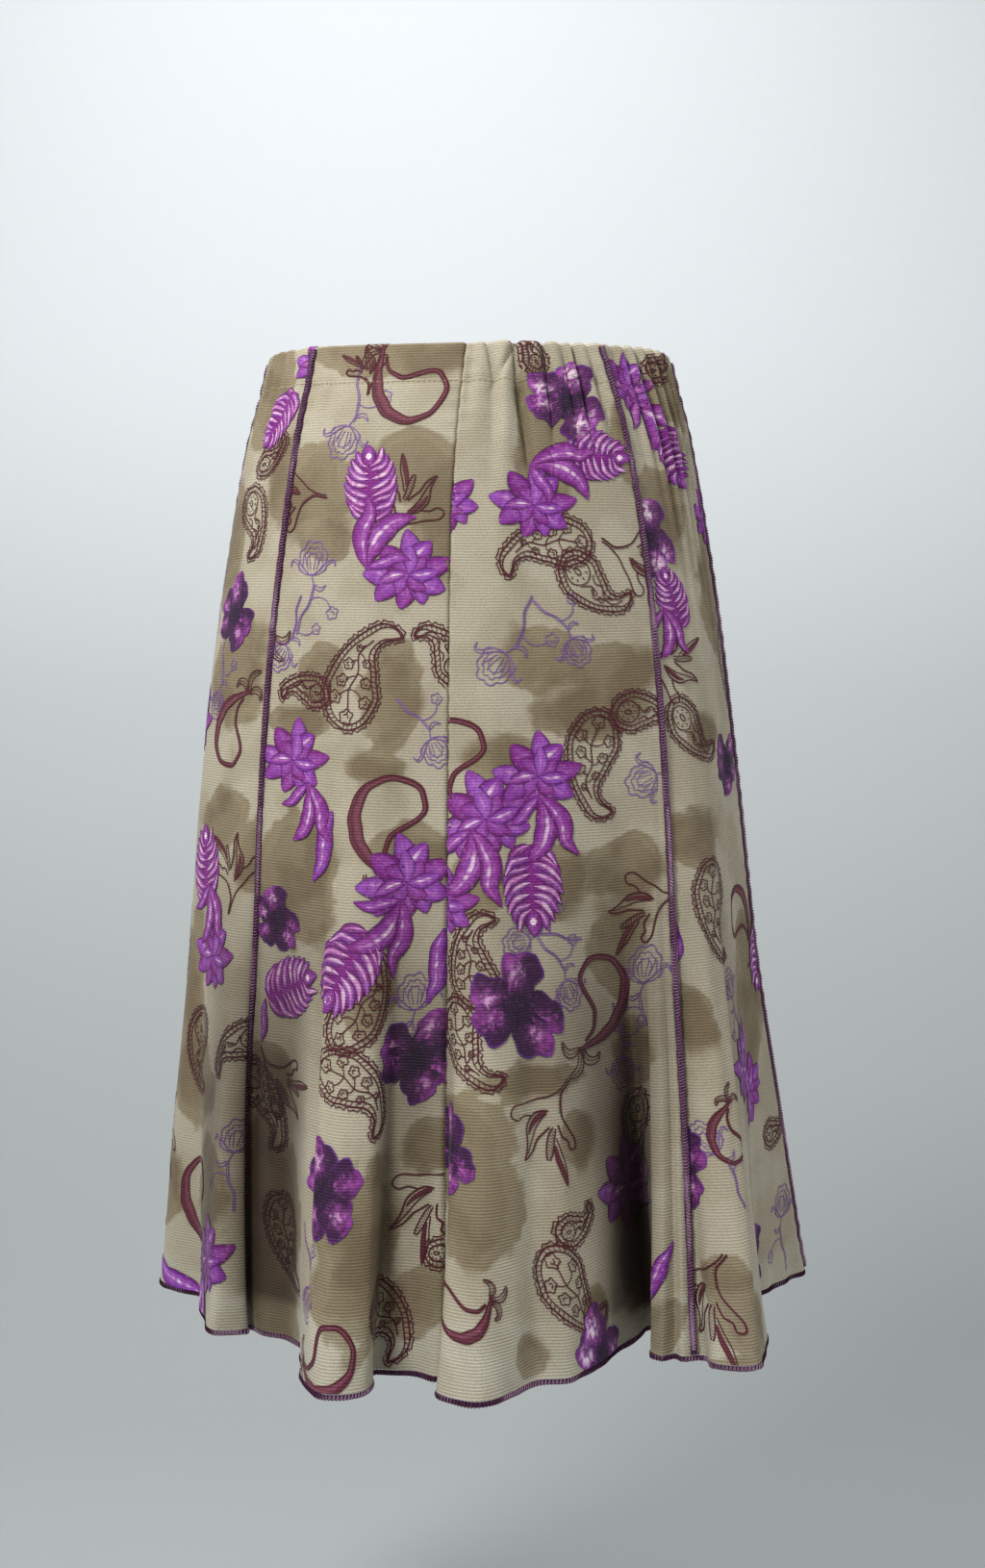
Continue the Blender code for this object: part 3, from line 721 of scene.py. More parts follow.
SEEN_INKS = {  # red, green and blue as seen on the cloth in even light
    "maroon": (82, 20, 34), "plum": (100, 44, 60), "plum light": (124, 66, 82),
    "lilac": (134, 96, 168), "purple": (134, 30, 140), "violet": (130, 50, 184),
    "lavender": (160, 92, 206), "orchid": (192, 100, 198), "dark": (76, 10, 80),
    "deep": (36, 5, 48), "wine": (86, 16, 94), "pink": (206, 124, 204), "pale": (252, 230, 250),
}
INKS = {name: np.array(srgb(*seen)[:3]) for name, seen in SEEN_INKS.items()}
INK_LEVELS = {"lilac": 0, "fill": 1, "line": 2, "petal": 3}       # one lies over another
INK_LIFT, INK_STEP = 0.40 * MM, 0.045 * MM      # above the cloth, and from level to level
LINE_STEP = 1.7                                 # mm between the points of a line
LINE_SPLINE_STEPS = 8                           # of its curve, from one given point to the next
LINE_WOBBLE = 0.011                             # of a hand-drawn line, as a share of the motif's size
FINE_PETAL = 3.6                                # half width in mm from which it has brush strokes
GATHERED = {"down": 105, "step": 0.6}           # over the gathers: mm, share of a line's step

# Shapes in a motif's own coordinates: p towards its tip and q beside it, in its sizes.
PAISLEY = (
    (-0.60, 0.00), (-0.45, 0.34), (-0.05, 0.46), (0.35, 0.34), (0.68, 0.20), (0.92, 0.26),
    (1.02, 0.42), (1.12, 0.56), (1.25, 0.40), (1.22, 0.12), (1.00, -0.14), (0.60, -0.38),
    (0.10, -0.52), (-0.40, -0.36),
)
PAISLEY_STEM = ((0.95, 0.10), (0.66, -0.06), (0.32, 0.00), (0.02, -0.06), (-0.24, 0.00))
PAISLEY_FLOWERS = (  # p, q, radius, and where its stalk leaves the stem
    (-0.38, 0.02, 0.125, -0.24), (-0.12, -0.28, 0.110, 0.05), (-0.10, 0.26, 0.105, 0.05),
    (0.18, -0.24, 0.105, 0.30), (0.22, 0.20, 0.095, 0.34), (0.46, -0.20, 0.090, 0.55),
    (0.54, 0.10, 0.070, 0.66), (0.76, -0.08, 0.060, 0.84),
)
DROP_WAVES = (
    ((0.16, -0.20), (0.34, -0.02), (0.52, -0.18), (0.72, -0.02), (0.98, 0.04), (1.06, 0.26)),
    ((0.18, 0.20), (0.34, 0.08), (0.52, 0.14), (0.70, 0.02), (0.90, 0.12)),
)
SCROLL = (
    (-1.55, 0.42), (-1.25, -0.10), (-0.80, -0.62), (-0.10, -0.86), (0.52, -0.66), (0.82, -0.08),
    (0.66, 0.52), (0.18, 0.72), (-0.20, 0.42), (-0.52, 0.06), (-0.98, 0.02), (-1.30, 0.22),
)
SCROLL_HALF = (0.03, 0.08, 0.15, 0.165, 0.12, 0.075, 0.055, 0.055, 0.05, 0.045, 0.04, 0.02)
SCROLL_LEAVES = (
    ((-1.50, 0.30), (-1.72, 0.10), (-1.70, -0.22), (-1.48, -0.34)),
    ((-1.52, 0.36), (-1.86, 0.30), (-2.10, 0.42), (-2.26, 0.66)),
    ((-1.48, 0.42), (-1.66, 0.62), (-1.62, 0.86), (-1.44, 0.98)),
)
LILY_LINES = (  # points, width mm
    (((-0.85, 0.04), (-0.45, 0.00), (-0.12, 0.20), (0.02, 0.50), (0.08, 0.78), (0.22, 0.88),
      (0.32, 0.76), (0.22, 0.62), (0.26, 0.46), (0.10, 0.24)), 1.15),
    (((-0.82, -0.04), (-0.46, -0.10), (-0.02, -0.40), (0.46, -0.80), (0.62, -0.76), (0.60, -0.56),
      (0.42, -0.46), (0.30, -0.30)), 0.90),
    (((0.00, -0.06), (0.24, -0.28), (0.54, -0.28), (0.78, -0.12), (1.15, 0.00)), 1.05),
    (((1.15, 0.00), (0.86, 0.10), (0.56, 0.06), (0.24, 0.14)), 1.05),
    (((0.06, -0.05), (0.40, -0.10), (0.70, -0.02), (1.02, 0.00)), 0.70),
    (((0.36, 0.36), (0.62, 0.74), (0.94, 1.05)), 0.80),
)
LILY_TONGUE = ((0.20, 0.22), (0.44, 0.27), (0.66, 0.38), (0.80, 0.46))
LILY_FOLDS = (  # middle line, half width
    (((0.04, -0.07), (0.24, -0.17), (0.44, -0.20), (0.64, -0.15)), 0.050),
    (((0.48, 0.40), (0.66, 0.58), (0.84, 0.82), (0.98, 1.06)), 0.062),
)
POSY_RINGS = (  # reach, depth of the ruffle, width mm, every so many points
    (0.52, 0.10, 0.75, 1), (0.36, 0.08, 0.60, 2), (0.20, 0.05, 0.60, 2),
)
POSY_CUP = ((-0.10, 0.44), (-0.32, 0.22), (-0.42, 0.00), (-0.32, -0.22), (-0.10, -0.44))
POSY_STEM = ((-0.38, 0.00), (-0.80, 0.08), (-1.30, -0.06), (-1.80, -0.34), (-2.25, -0.42))
POSY_BRANCH = ((-1.20, -0.04), (-1.10, 0.30), (-1.22, 0.62), (-1.46, 0.74))
POSY_SEPALS = (
    ((-0.42, 0.04), (-0.30, 0.34), (-0.06, 0.52), (0.02, 0.76), (-0.16, 0.80)),
    ((-0.42, -0.04), (-0.30, -0.34), (-0.06, -0.52), (0.02, -0.76), (-0.16, -0.80)),
    ((-0.72, 0.08), (-0.86, 0.36), (-0.74, 0.56)),
)
BLOOM_OUTER = (  # azimuth in degrees from the tip, length, half width, light
    (-163, 0.80, 0.24, 0.25), (-124, 0.96, 0.27, 0.50), (-82, 1.08, 0.26, 0.30),
    (-44, 0.92, 0.28, 0.85), (-6, 1.08, 0.25, 0.30), (36, 0.96, 0.29, 0.25), (77, 1.10, 0.26, 0.60),
    (118, 0.96, 0.27, 0.30), (158, 0.82, 0.24, 0.40),
)
BLOOM_INNER = (
    (-142, 0.58, 0.17, 0.30), (-96, 0.72, 0.17, 1.05), (-50, 0.58, 0.19, 0.25),
    (-8, 0.68, 0.18, 0.55), (42, 0.60, 0.20, 0.25), (94, 0.74, 0.16, 1.10), (142, 0.52, 0.19, 0.30),
)
SEPALS = (  # middle line, half width
    (((-1.02, 0.00), (-0.50, 0.14), (0.06, 0.10), (0.52, -0.14), (0.86, -0.56)), 0.34),
    (((-0.98, 0.02), (-0.60, 0.36), (-0.14, 0.64), (0.34, 0.66), (0.84, 1.02)), 0.27),
    (((-0.98, -0.02), (-0.62, -0.38), (-0.34, -0.66), (-0.26, -1.04)), 0.19),
)
LEAF = (((-0.95, 0.06), (-0.35, -0.02), (0.35, 0.06), (0.98, -0.14)), 0.26)
PANSY_PETALS = (  # azimuth in degrees, reach of its middle, half length, half width, light, lean
    (32, 0.58, 0.45, 0.40, 0.95, 0.5),
    (104, 0.54, 0.42, 0.38, 0.75, -0.6),
    (176, 0.58, 0.42, 0.43, 0.90, 0.4),
    (-112, 0.54, 0.45, 0.39, 0.70, -0.5),
    (-40, 0.64, 0.49, 0.44, 1.00, 0.6),
)
PANSY_LIGHT, PALE_PANSY_LIGHT = 1.1, 1.75
CONE_ROWS = (  # share of the length, light on each side
    (0.00, 0.45, 0.70), (0.13, 0.75, 0.50), (0.26, 0.55, 1.00), (0.39, 1.05, 0.80),
    (0.52, 0.90, 1.25), (0.64, 1.25, 0.85), (0.76, 0.80, 1.10), (0.87, 1.00, 0.60),
)


def blend(first, second, share):
    """Between two colours, point by point."""
    share = np.clip(np.asarray(share, float), 0, 1)[..., None]
    return first * (1 - share) + second * share


def smooth_line(points, step, closed):
    """Even points along a smooth curve through given ones."""
    points = [np.array(point) for point in points]
    if closed:
        fine = closed_spline(points, LINE_SPLINE_STEPS)
        fine = np.concatenate((fine, fine[:1]))
    else:
        there_and_back = points + points[-2:0:-1]
        fine = closed_spline(there_and_back, LINE_SPLINE_STEPS)
        fine = fine[:LINE_SPLINE_STEPS * (len(points) - 1) + 1]
    arc = arc_along(fine)
    count = max(int(round(arc[-1] / step)), 3)
    line = at_arc(np.linspace(0, arc[-1], count + 1), arc, fine)
    return line[:-1] if closed else line


def line_normals(line, closed=False):
    """Directions across a line, to its left."""
    along = headings(line, closed)
    return np.stack((-along[:, 1], along[:, 0]), axis=1)


def outward_normals(line):
    """Directions out of a closed line."""
    normals = line_normals(line, closed=True)
    after = np.roll(line, -1, axis=0)
    area = np.sum(line[:, 0] * after[:, 1] - line[:, 1] * after[:, 0])
    return -normals if area > 0 else normals


def mottle(line, seed):
    """Uneven shades of a painted petal, from 0 to 1, by place."""
    p, q = line[..., 0], line[..., 1]
    waves = (np.sin(9.1 * p + 5.3 * q + seed) + np.sin(13.7 * q - 7.9 * p + 2.1 * seed)
             + np.sin(21.3 * p + 17.1 * q + 3.7 * seed) * 0.8)
    return 0.5 + 0.5 * np.sin(1.9 * waves)


def leaf_width(share, half_width, roundness, blunt):
    """Half widths along a leaf or petal, from 0 at its foot over its belly to 0 at its tip."""
    return half_width * np.sin(math.pi * share ** roundness) ** blunt


def circle(count):
    """Points round a circle of radius 1."""
    angles = np.linspace(0, 2 * math.pi, count, endpoint=False)
    return np.stack((np.cos(angles), np.sin(angles)), axis=1)


class Ink:
    """The print of one gore: flat shapes on the cloth as strips of quads, coloured at each point."""

    def __init__(self):
        self.parts = []
        self.quads = []
        self.count = 0

    def move_to(self, across, down, size, angle, hand):
        """Sets where the next motif lies, in mm and degrees."""
        self.across, self.down, self.size, self.hand = across, down, size, hand
        self.angle = math.radians(angle)
        self.fineness = GATHERED["step"] if down < GATHERED["down"] else 1.0

    def take(self, ink, level):
        """Sets the colour and the level of the lines that follow."""
        self.colour, self.level = INKS[ink], INK_LEVELS[level]

    def smooth(self, points, share=1.0, closed=False):
        """Even points on a curve through given ones, this share of the usual step apart."""
        return smooth_line(points, LINE_STEP * share * self.fineness / self.size, closed)

    def count_of(self, plain):
        """How many points a round shape gets here."""
        return int(round(plain / self.fineness))

    def patch(self, local, colours, level, closed, painted):
        """A grid of points in the motif's own coordinates, with a colour at each."""
        p, q = local[..., 0] * self.size, local[..., 1] * self.size * self.hand
        sine, cosine = math.sin(self.angle), math.cos(self.angle)
        x = self.across + p * sine + q * cosine
        y = self.down - p * cosine + q * sine
        self.quads.append(quad_grid(*x.shape, first=self.count, looped=closed))
        flat = np.stack((x * MM, y * MM, np.full_like(x, level), np.full_like(x, painted)), axis=-1)
        self.parts.append(np.concatenate((flat, colours), axis=-1).reshape(-1, 7))
        self.count += x.size

    def strip(self, line, half, bands, level, closed=False, painted=0.0):
        """A band along a line, with colours across it as (share of the half width, colour)."""
        line = line + LINE_WOBBLE * np.sin(line[:, ::-1] * (9, -11) + line * 5)
        normals = line_normals(line, closed)
        half = np.broadcast_to(half, len(line))[:, None]
        local = np.stack([line + normals * half * share for share, _ in bands], axis=1)
        colours = np.stack([np.broadcast_to(c, (len(line), 3)) for _, c in bands], axis=1)
        self.patch(local, colours, level, closed, painted)

    def line(self, line, width, closed=False):
        """A drawn line, its width in mm."""
        bands = ((-1, self.colour), (1, self.colour))
        self.strip(line, width / 2 / self.size, bands, self.level, closed)

    def curve(self, points, width):
        """A drawn line through given points."""
        self.line(self.smooth(points), width)

    def hatch(self, starts, ends, width):
        """Short straight lines, from each start to its end."""
        for pair in zip(starts, ends):
            self.line(np.stack(pair), width)


def draw_rosette(ink, p, q, radius, width):
    """A small five-lobed flower in outline."""
    angles = np.linspace(0, 2 * math.pi, 20, endpoint=False)
    reach = radius * (0.66 + 0.42 * np.abs(np.cos(2.5 * angles + 0.4)))
    ink.line((p, q) + reach[:, None] * circle(20), width, closed=True)
    curl = np.linspace(0.4, 4.0, 7) + 5 * p
    curl = np.stack((np.cos(curl), np.sin(curl)), axis=1) * radius * 0.34
    ink.line(curl + (p, q), width * 0.9)


def draw_paisley(ink):
    """A drop with a hatched and scalloped border, flowers inside, or an eye in a small one."""
    ink.take("maroon", "line")
    edge = ink.smooth(PAISLEY, closed=True)
    edge = edge[:len(edge) // 5 * 5]
    outward = outward_normals(edge)
    narrow = np.clip(np.linalg.norm(edge - (1.14, 0.52), axis=1) / 0.5, 0.35, 1)[:, None]
    ink.line(edge, 1.05, closed=True)
    inner = edge - outward * 3.2 / ink.size * narrow
    ink.line(inner, 0.75, closed=True)
    bump = np.abs(np.sin(math.pi * np.arange(len(edge)) / 2.5))[:, None]
    ink.line(edge + outward * (0.5 + 2.2 * bump) / ink.size, 0.80, closed=True)
    ink.hatch(edge[:-1:2], inner[1::2], 0.45)
    if ink.size < 30:
        draw_drop_inside(ink)
    else:
        draw_flowers_inside(ink)


def draw_flowers_inside(ink):
    """Small flowers on a bent stem inside a large drop."""
    stem = ink.smooth(PAISLEY_STEM)
    ink.line(stem, 0.80)
    for p, q, radius, leaves_at in PAISLEY_FLOWERS:
        draw_rosette(ink, p, q, radius, 0.75)
        root = stem[np.argmin(np.abs(stem[:, 0] - leaves_at))]
        near = np.array((p, q)) + (root - (p, q)) * 0.25
        ink.curve((root, (root + near) / 2 + (0.03, 0.02), near), 0.65)


def draw_drop_inside(ink):
    """An eye with rays, waves and two beads inside a small drop."""
    middle = np.array((-0.12, -0.02))
    around = circle(24)
    ink.line(middle + around * (0.30, 0.27), 0.75, closed=True)
    ink.line(middle + around * (0.09, 0.05), 0.75, closed=True)
    ink.hatch(middle + around[::3] * 0.16, middle + around[::3] * 0.215, 0.75)
    for wave in DROP_WAVES:
        ink.curve(wave, 0.75)
    for place in ((0.44, -0.08), (0.68, -0.08)):
        ink.line(place + around[::2] * (0.085, 0.045), 0.60, closed=True)


def draw_hook(ink):
    """A ribbon that curls round, thick in its belly, with a small three-leaved foot."""
    ink.take("maroon", "line")
    plum, shade = INKS["plum"], INKS["plum light"]
    line = ink.smooth(SCROLL, 1.3)
    along = np.linspace(0, len(SCROLL_HALF) - 1, len(line))
    half = smooth_through(np.arange(len(SCROLL_HALF)), SCROLL_HALF, along)
    bands = ((-1, plum), (-0.2, plum), (0.3, shade), (1, plum))
    ink.strip(line, half, bands, INK_LEVELS["fill"], painted=0.5)
    aside = line_normals(line)
    for side in (-1, 1):
        ink.line(line + side * aside * half[:, None], 0.85)
    ink.line((line - aside * half[:, None] * 0.45)[4:-6], 0.40)
    for leaf in SCROLL_LEAVES:
        draw_outlined_leaf(ink, leaf)


def draw_outlined_leaf(ink, middle):
    """A leaf in outline, with a vein."""
    line = ink.smooth(middle)
    half = leaf_width(np.clip(np.linspace(0, 1, len(line)), 0, 0.97), 0.11, 0.85, 0.65)
    normals = line_normals(line)
    ink.line(line + normals * half[:, None], 0.85)
    ink.line(line - normals * half[:, None] * 0.9, 0.85 * 0.8)
    ink.line(line[:-1] + normals[:-1] * half[:-1, None] * 0.12, 0.85 * 0.6)


def draw_lily(ink):
    """A lily in outline: petals that curl back, a hatched tongue and two dark folds."""
    ink.take("maroon", "line")
    for points, width in LILY_LINES:
        ink.curve(points, width)
    throat = ink.smooth(LILY_LINES[0][0])
    inwards = throat - line_normals(throat) * 1.9 / ink.size
    hatched = slice(len(throat) // 7, len(throat) // 3)
    ink.hatch(throat[hatched], inwards[hatched], 0.50)
    for middle, half_width in LILY_FOLDS:
        line = ink.smooth(middle)
        half = leaf_width(np.linspace(0.06, 0.97, len(line)), half_width, 1, 0.7)
        bands = ((-1, ink.colour), (0, INKS["plum"]), (1, ink.colour))
        ink.strip(line, half, bands, ink.level)
    line = ink.smooth(LILY_TONGUE)
    half = leaf_width(np.linspace(0.04, 0.96, len(line)), 0.075, 1, 0.6)
    side = line_normals(line) * half[:, None]
    for way in (-1, 1):
        ink.line(line + way * side, 0.75)
    ink.hatch((line - side)[1:-1], (line + side)[2:], 0.45)


def draw_posy(ink):
    """A thin flower in outline on a long stalk, with curled sepals and a side flower."""
    ink.take("lilac", "lilac")
    angles = np.linspace(-2.1, 2.1, 37)
    for reach, depth, width, every in POSY_RINGS:
        ruffle = reach + depth * np.abs(np.sin(angles * 4.1))
        ring = np.stack((ruffle * np.cos(angles) * 1.05, ruffle * np.sin(angles) * 0.86), axis=1)
        ink.line(ring[::every], width)
    ink.curve(POSY_CUP, 0.75)
    for q in (-0.26, -0.10, 0.10, 0.26):
        ink.line(np.array(((-0.26, q * 0.6), (0.06, q), (0.28, q * 1.25))), 0.50)
    for sepal in POSY_SEPALS:
        line = ink.smooth(sepal)
        half = leaf_width(np.linspace(0, 1, len(line)), 0.055, 0.8, 0.8)
        for side in (-1, 1):
            ink.line(line + side * line_normals(line) * half[:, None], 0.60)
    stem = ink.smooth(POSY_STEM)
    ink.line(stem, 0.70)
    ink.line(stem[4:] + (0.0, 0.06), 0.50)
    ink.curve(POSY_BRANCH, 0.65)
    draw_rosette(ink, -1.58, 0.80, 0.19, 0.65)


def draw_petal(ink, line, half_width, level, light, seed, blunt=0.55):
    """A painted petal: dark edges, an uneven body and, on a large one, brush strokes."""
    share = np.linspace(0, 1, len(line))
    half = leaf_width(np.clip(share, 0.02, 0.985), half_width, 0.95, blunt)
    purple, violet, lavender, dark, pink, pale = (
        INKS[name] for name in ("purple", "violet", "lavender", "dark", "pink", "pale")
    )
    uneven = mottle(line, seed)
    swell = np.sin(math.pi * np.clip(share * 1.08, 0, 1)) ** 0.7
    glow = light * swell * (0.45 + 0.70 * uneven)
    cool = blend(violet, lavender, 0.5 + 0.5 * math.sin(2.1 * seed))
    body = blend(purple, cool, 0.30 + 0.42 * math.sin(1.3 * seed) + (uneven - 0.5) * 0.5)
    rim = blend(dark, body, 0.5)
    if half_width * ink.size < FINE_PETAL:
        stroke = blend(body, pink, glow)
        bands = ((-1.0, dark), (-0.78, rim), (-0.25, stroke), (0.25, stroke), (0.78, rim), (1.0, dark))
    else:
        off = 0.20 * math.sin(2.9 * seed)
        soft = blend(body, lavender, 0.34 * swell)
        streak = blend(soft, blend(pink, pale, glow * 1.6 - 0.7), glow * 1.1)
        beside = blend(soft, pink, glow * 0.85 * mottle(line, seed + 2))
        other = blend(soft, pink, glow * 0.65 * mottle(line, seed + 5))
        bands = (
            (-1.0, dark), (-0.84, rim), (-0.64, body), (off - 0.42, beside), (off - 0.30, soft),
            (off - 0.12, streak), (off + 0.03, streak), (off + 0.15, soft), (off + 0.32, other),
            (0.62, body), (0.84, rim), (1.0, dark),
        )
    ink.strip(line, half, bands, level, painted=1.0)


def way_and_aside(azimuth):
    """Unit vectors along an azimuth in degrees and across it."""
    turn = math.radians(azimuth)
    return np.array((math.cos(turn), math.sin(turn))), np.array((-math.sin(turn), math.cos(turn)))


def draw_bloom(ink):
    """Full petals in two rings, some of them with a bright streak."""
    for above, petals in ((0, BLOOM_OUTER), (2, BLOOM_INNER)):
        for i, (azimuth, length, half_width, light) in enumerate(petals):
            way, aside = way_and_aside(azimuth)
            if above:
                points = (way * 0.02, way * length * 0.5 - aside * 0.06, way * length)
                seed, blunt = 9 + i * 2.1, 0.72
            else:
                bend = 0.08 * math.sin(2.3 * i + 1)
                points = (way * 0.08, way * length * 0.55 + aside * bend, way * length)
                seed, blunt = i * 1.7, 0.66
            level = INK_LEVELS["petal"] + above + i % 2
            draw_petal(ink, ink.smooth(points, 1.6), half_width, level, light, seed, blunt)


def draw_cone(ink):
    """A fat bud of overlapping scales in rows, each with a bright brush stroke."""
    petal = INK_LEVELS["petal"]
    purple, dark, pink, pale = (INKS[name] for name in ("purple", "dark", "pink", "pale"))
    share = np.linspace(0, 1, max(int(2 * ink.size / (LINE_STEP * 1.5 * ink.fineness)), 8))
    middle = np.stack((share * 1.9 - 0.95, 0.05 * np.sin(3 * share)), axis=1)
    half = leaf_width(np.clip(share, 0.03, 0.97), 0.60, 0.82, 0.62)
    bands = [(share, dark if abs(share) > 0.95 else purple) for share in np.linspace(-1, 1, 15)]
    ink.strip(middle, half, bands, petal, painted=1.0)
    for i, (place, *lights) in enumerate(CONE_ROWS):
        start = place * 1.60 - 0.88
        reach = leaf_width(min(place * 0.80 + 0.17, 1), 0.64, 0.82, 0.62)
        for side, light in zip((-1, 1), lights):
            shift = 0.035 * math.sin(4.7 * i + 2 * side)
            line = ink.smooth((
                (start + shift, 0.04 * side), (start + 0.05 + shift, side * reach * 0.45),
                (start + 0.18 + 0.04 * side, side * reach * 0.84), (start + 0.42, side * reach * 1.10),
            ), 1.3)
            draw_petal(ink, line, 0.120, petal + 1 + i % 2, 0.30, seed=i * 2.9 + side, blunt=0.6)
            along = np.linspace(0, 1, len(line))
            along = np.clip(along * (1.15 - 0.3 * math.sin(3 * i + side)), 0.02, 0.98)
            stroke = leaf_width(along, 0.052 * min(light, 1.1), 1, 0.9)
            glow = np.clip(light * (0.05 + 0.75 * mottle(line, seed=i + side)), 0, 1)
            tone = blend(pink, pale, glow * 0.8)
            fade = blend(purple, tone, 0.35)
            bands = ((-1, fade), (-0.3, tone), (0.3, tone), (1, fade))
            ink.strip(line - (0.012, 0), stroke, bands, petal + 3, painted=0.8)
    tip = ink.smooth(((0.50, 0.0), (0.78, 0.03), (1.06, 0.0)), 1.6)
    draw_petal(ink, tip, 0.20, petal + 4, 0.4, seed=4.0)
    radius, point = 0.085, np.array((0.76, 0.02))
    dot = point + ((-radius, 0), (0, 0), (radius, 0))
    ink.strip(dot, np.array((0.35, 1.0, 0.35)) * radius, ((-1, pale), (1, pale)), petal + 5)


def draw_sepals(ink):
    """Pointed leaves that curl apart."""
    for i, (middle, half_width) in enumerate(SEPALS):
        level = INK_LEVELS["petal"] + 4 + i % 2
        draw_petal(ink, ink.smooth(middle, 1.5), half_width, level, 0.85, seed=3 + i, blunt=0.8)


def draw_leaf(ink):
    """One pointed leaf, painted like a petal."""
    middle, half_width = LEAF
    level = INK_LEVELS["petal"] + 1
    draw_petal(ink, ink.smooth(middle, 1.5), half_width, level, 0.9, seed=2.0, blunt=0.8)


def draw_pansy(ink, lit=PANSY_LIGHT):
    """Five ruffled petals round a very dark heart, uneven like watercolour."""
    dark = min(1.0, math.sqrt(PANSY_LIGHT / lit))          # a paler flower has a smaller heart
    petal = INK_LEVELS["petal"]
    purple, deep, wine, violet, orchid, pale = (
        INKS[name] for name in ("purple", "deep", "wine", "violet", "orchid", "pale")
    )
    turn = np.linspace(0, 2 * math.pi, ink.count_of(30), endpoint=False)[:, None]
    outwards = (turn + math.pi) % (2 * math.pi) - math.pi
    s = np.linspace(0.02, 1, ink.count_of(9))[None, :]
    seed = 0.13 * ink.across + 0.07 * ink.down
    reach = 0.40 * dark + 0.08 * np.sin(3 * turn + seed) + 0.07 * np.sin(5 * turn + 1)
    heart = np.stack((reach * s * np.cos(turn), reach * s * np.sin(turn)), axis=-1)
    ink.patch(heart, np.broadcast_to(deep, heart.shape[:2] + (3,)), petal, closed=True, painted=0.4)
    for i, (azimuth, middle, half_length, half_width, light, lean) in enumerate(PANSY_PETALS):
        phase = 2.1 * i + seed
        way, aside = way_and_aside(azimuth + 13 * math.sin(1.7 * phase))
        half_length *= 1 + 0.13 * math.sin(2.7 * phase)
        ruffle = (1 + 0.11 * np.sin(3 * turn + phase) + 0.07 * np.sin(5 * turn + 2 * phase)
                  + 0.045 * np.sin(8 * turn + 3 * phase) - 0.10 * bell(outwards / 0.5))
        out = (ruffle * s * np.cos(turn) * half_length)[..., None]
        along = (ruffle * s * np.sin(turn) * half_width)[..., None]
        local = way * (middle + out) + aside * along
        beside = along[..., 0] / half_width
        uneven = mottle(local * 0.9, seed=3.3 * i + seed)
        fine = mottle(local * 1.9, seed=1.9 * i + 5)
        from_heart = np.linalg.norm(local, axis=-1)
        tone = blend(wine, purple, 0.10 + 0.70 * uneven)
        bright = np.hypot(out[..., 0] / half_length - 0.05, beside - 0.45 * lean)
        patch = smoothstep((0.60 * uneven + 0.45 * fine - 0.28) / 0.30)
        glow = lit * light * bell(bright / 0.72) * (0.22 + 0.78 * patch)
        tone = blend(tone, orchid, glow)
        tone = blend(tone, pale, (glow - 0.70) * 1.3)
        shade = np.clip((0.60 * fine - np.sign(lean) * beside - 0.08 * lit) / 0.36, 0, 1) * 0.85 * dark
        arms = np.clip((np.abs(beside) + 0.25 * fine - 0.55) / 0.25, 0, 1)
        arms = arms * np.clip((0.85 * dark - from_heart) / 0.25, 0, 1) * 0.90
        inner = np.clip((0.40 * dark + 0.16 * fine - from_heart) / 0.12, 0, 1) * 0.95
        tone = blend(tone, deep, np.maximum(np.maximum(inner, shade), arms))
        edge = np.broadcast_to(s, from_heart.shape)
        free = np.clip((from_heart - 0.55) / 0.25, 0, 1)
        tone = blend(tone, violet, np.clip((edge - 0.90) / 0.06, 0, 1) * 0.55 * free)
        ink.patch(local, tone, petal + 1 + i % 3, closed=True, painted=0.4)


def draw_pale_pansy(ink):
    """The same flower in a brighter light."""
    draw_pansy(ink, lit=PALE_PANSY_LIGHT)


DRAWN = {  # in this order, so that the purple flowers lie over the lines
    "paisley": draw_paisley,
    "hook": draw_hook,
    "lily": draw_lily,
    "posy": draw_posy,
    "bloom": draw_bloom,
    "cone": draw_cone,
    "sepals": draw_sepals,
    "leaf": draw_leaf,
    "pansy": draw_pansy,
    "pale pansy": draw_pale_pansy,
}

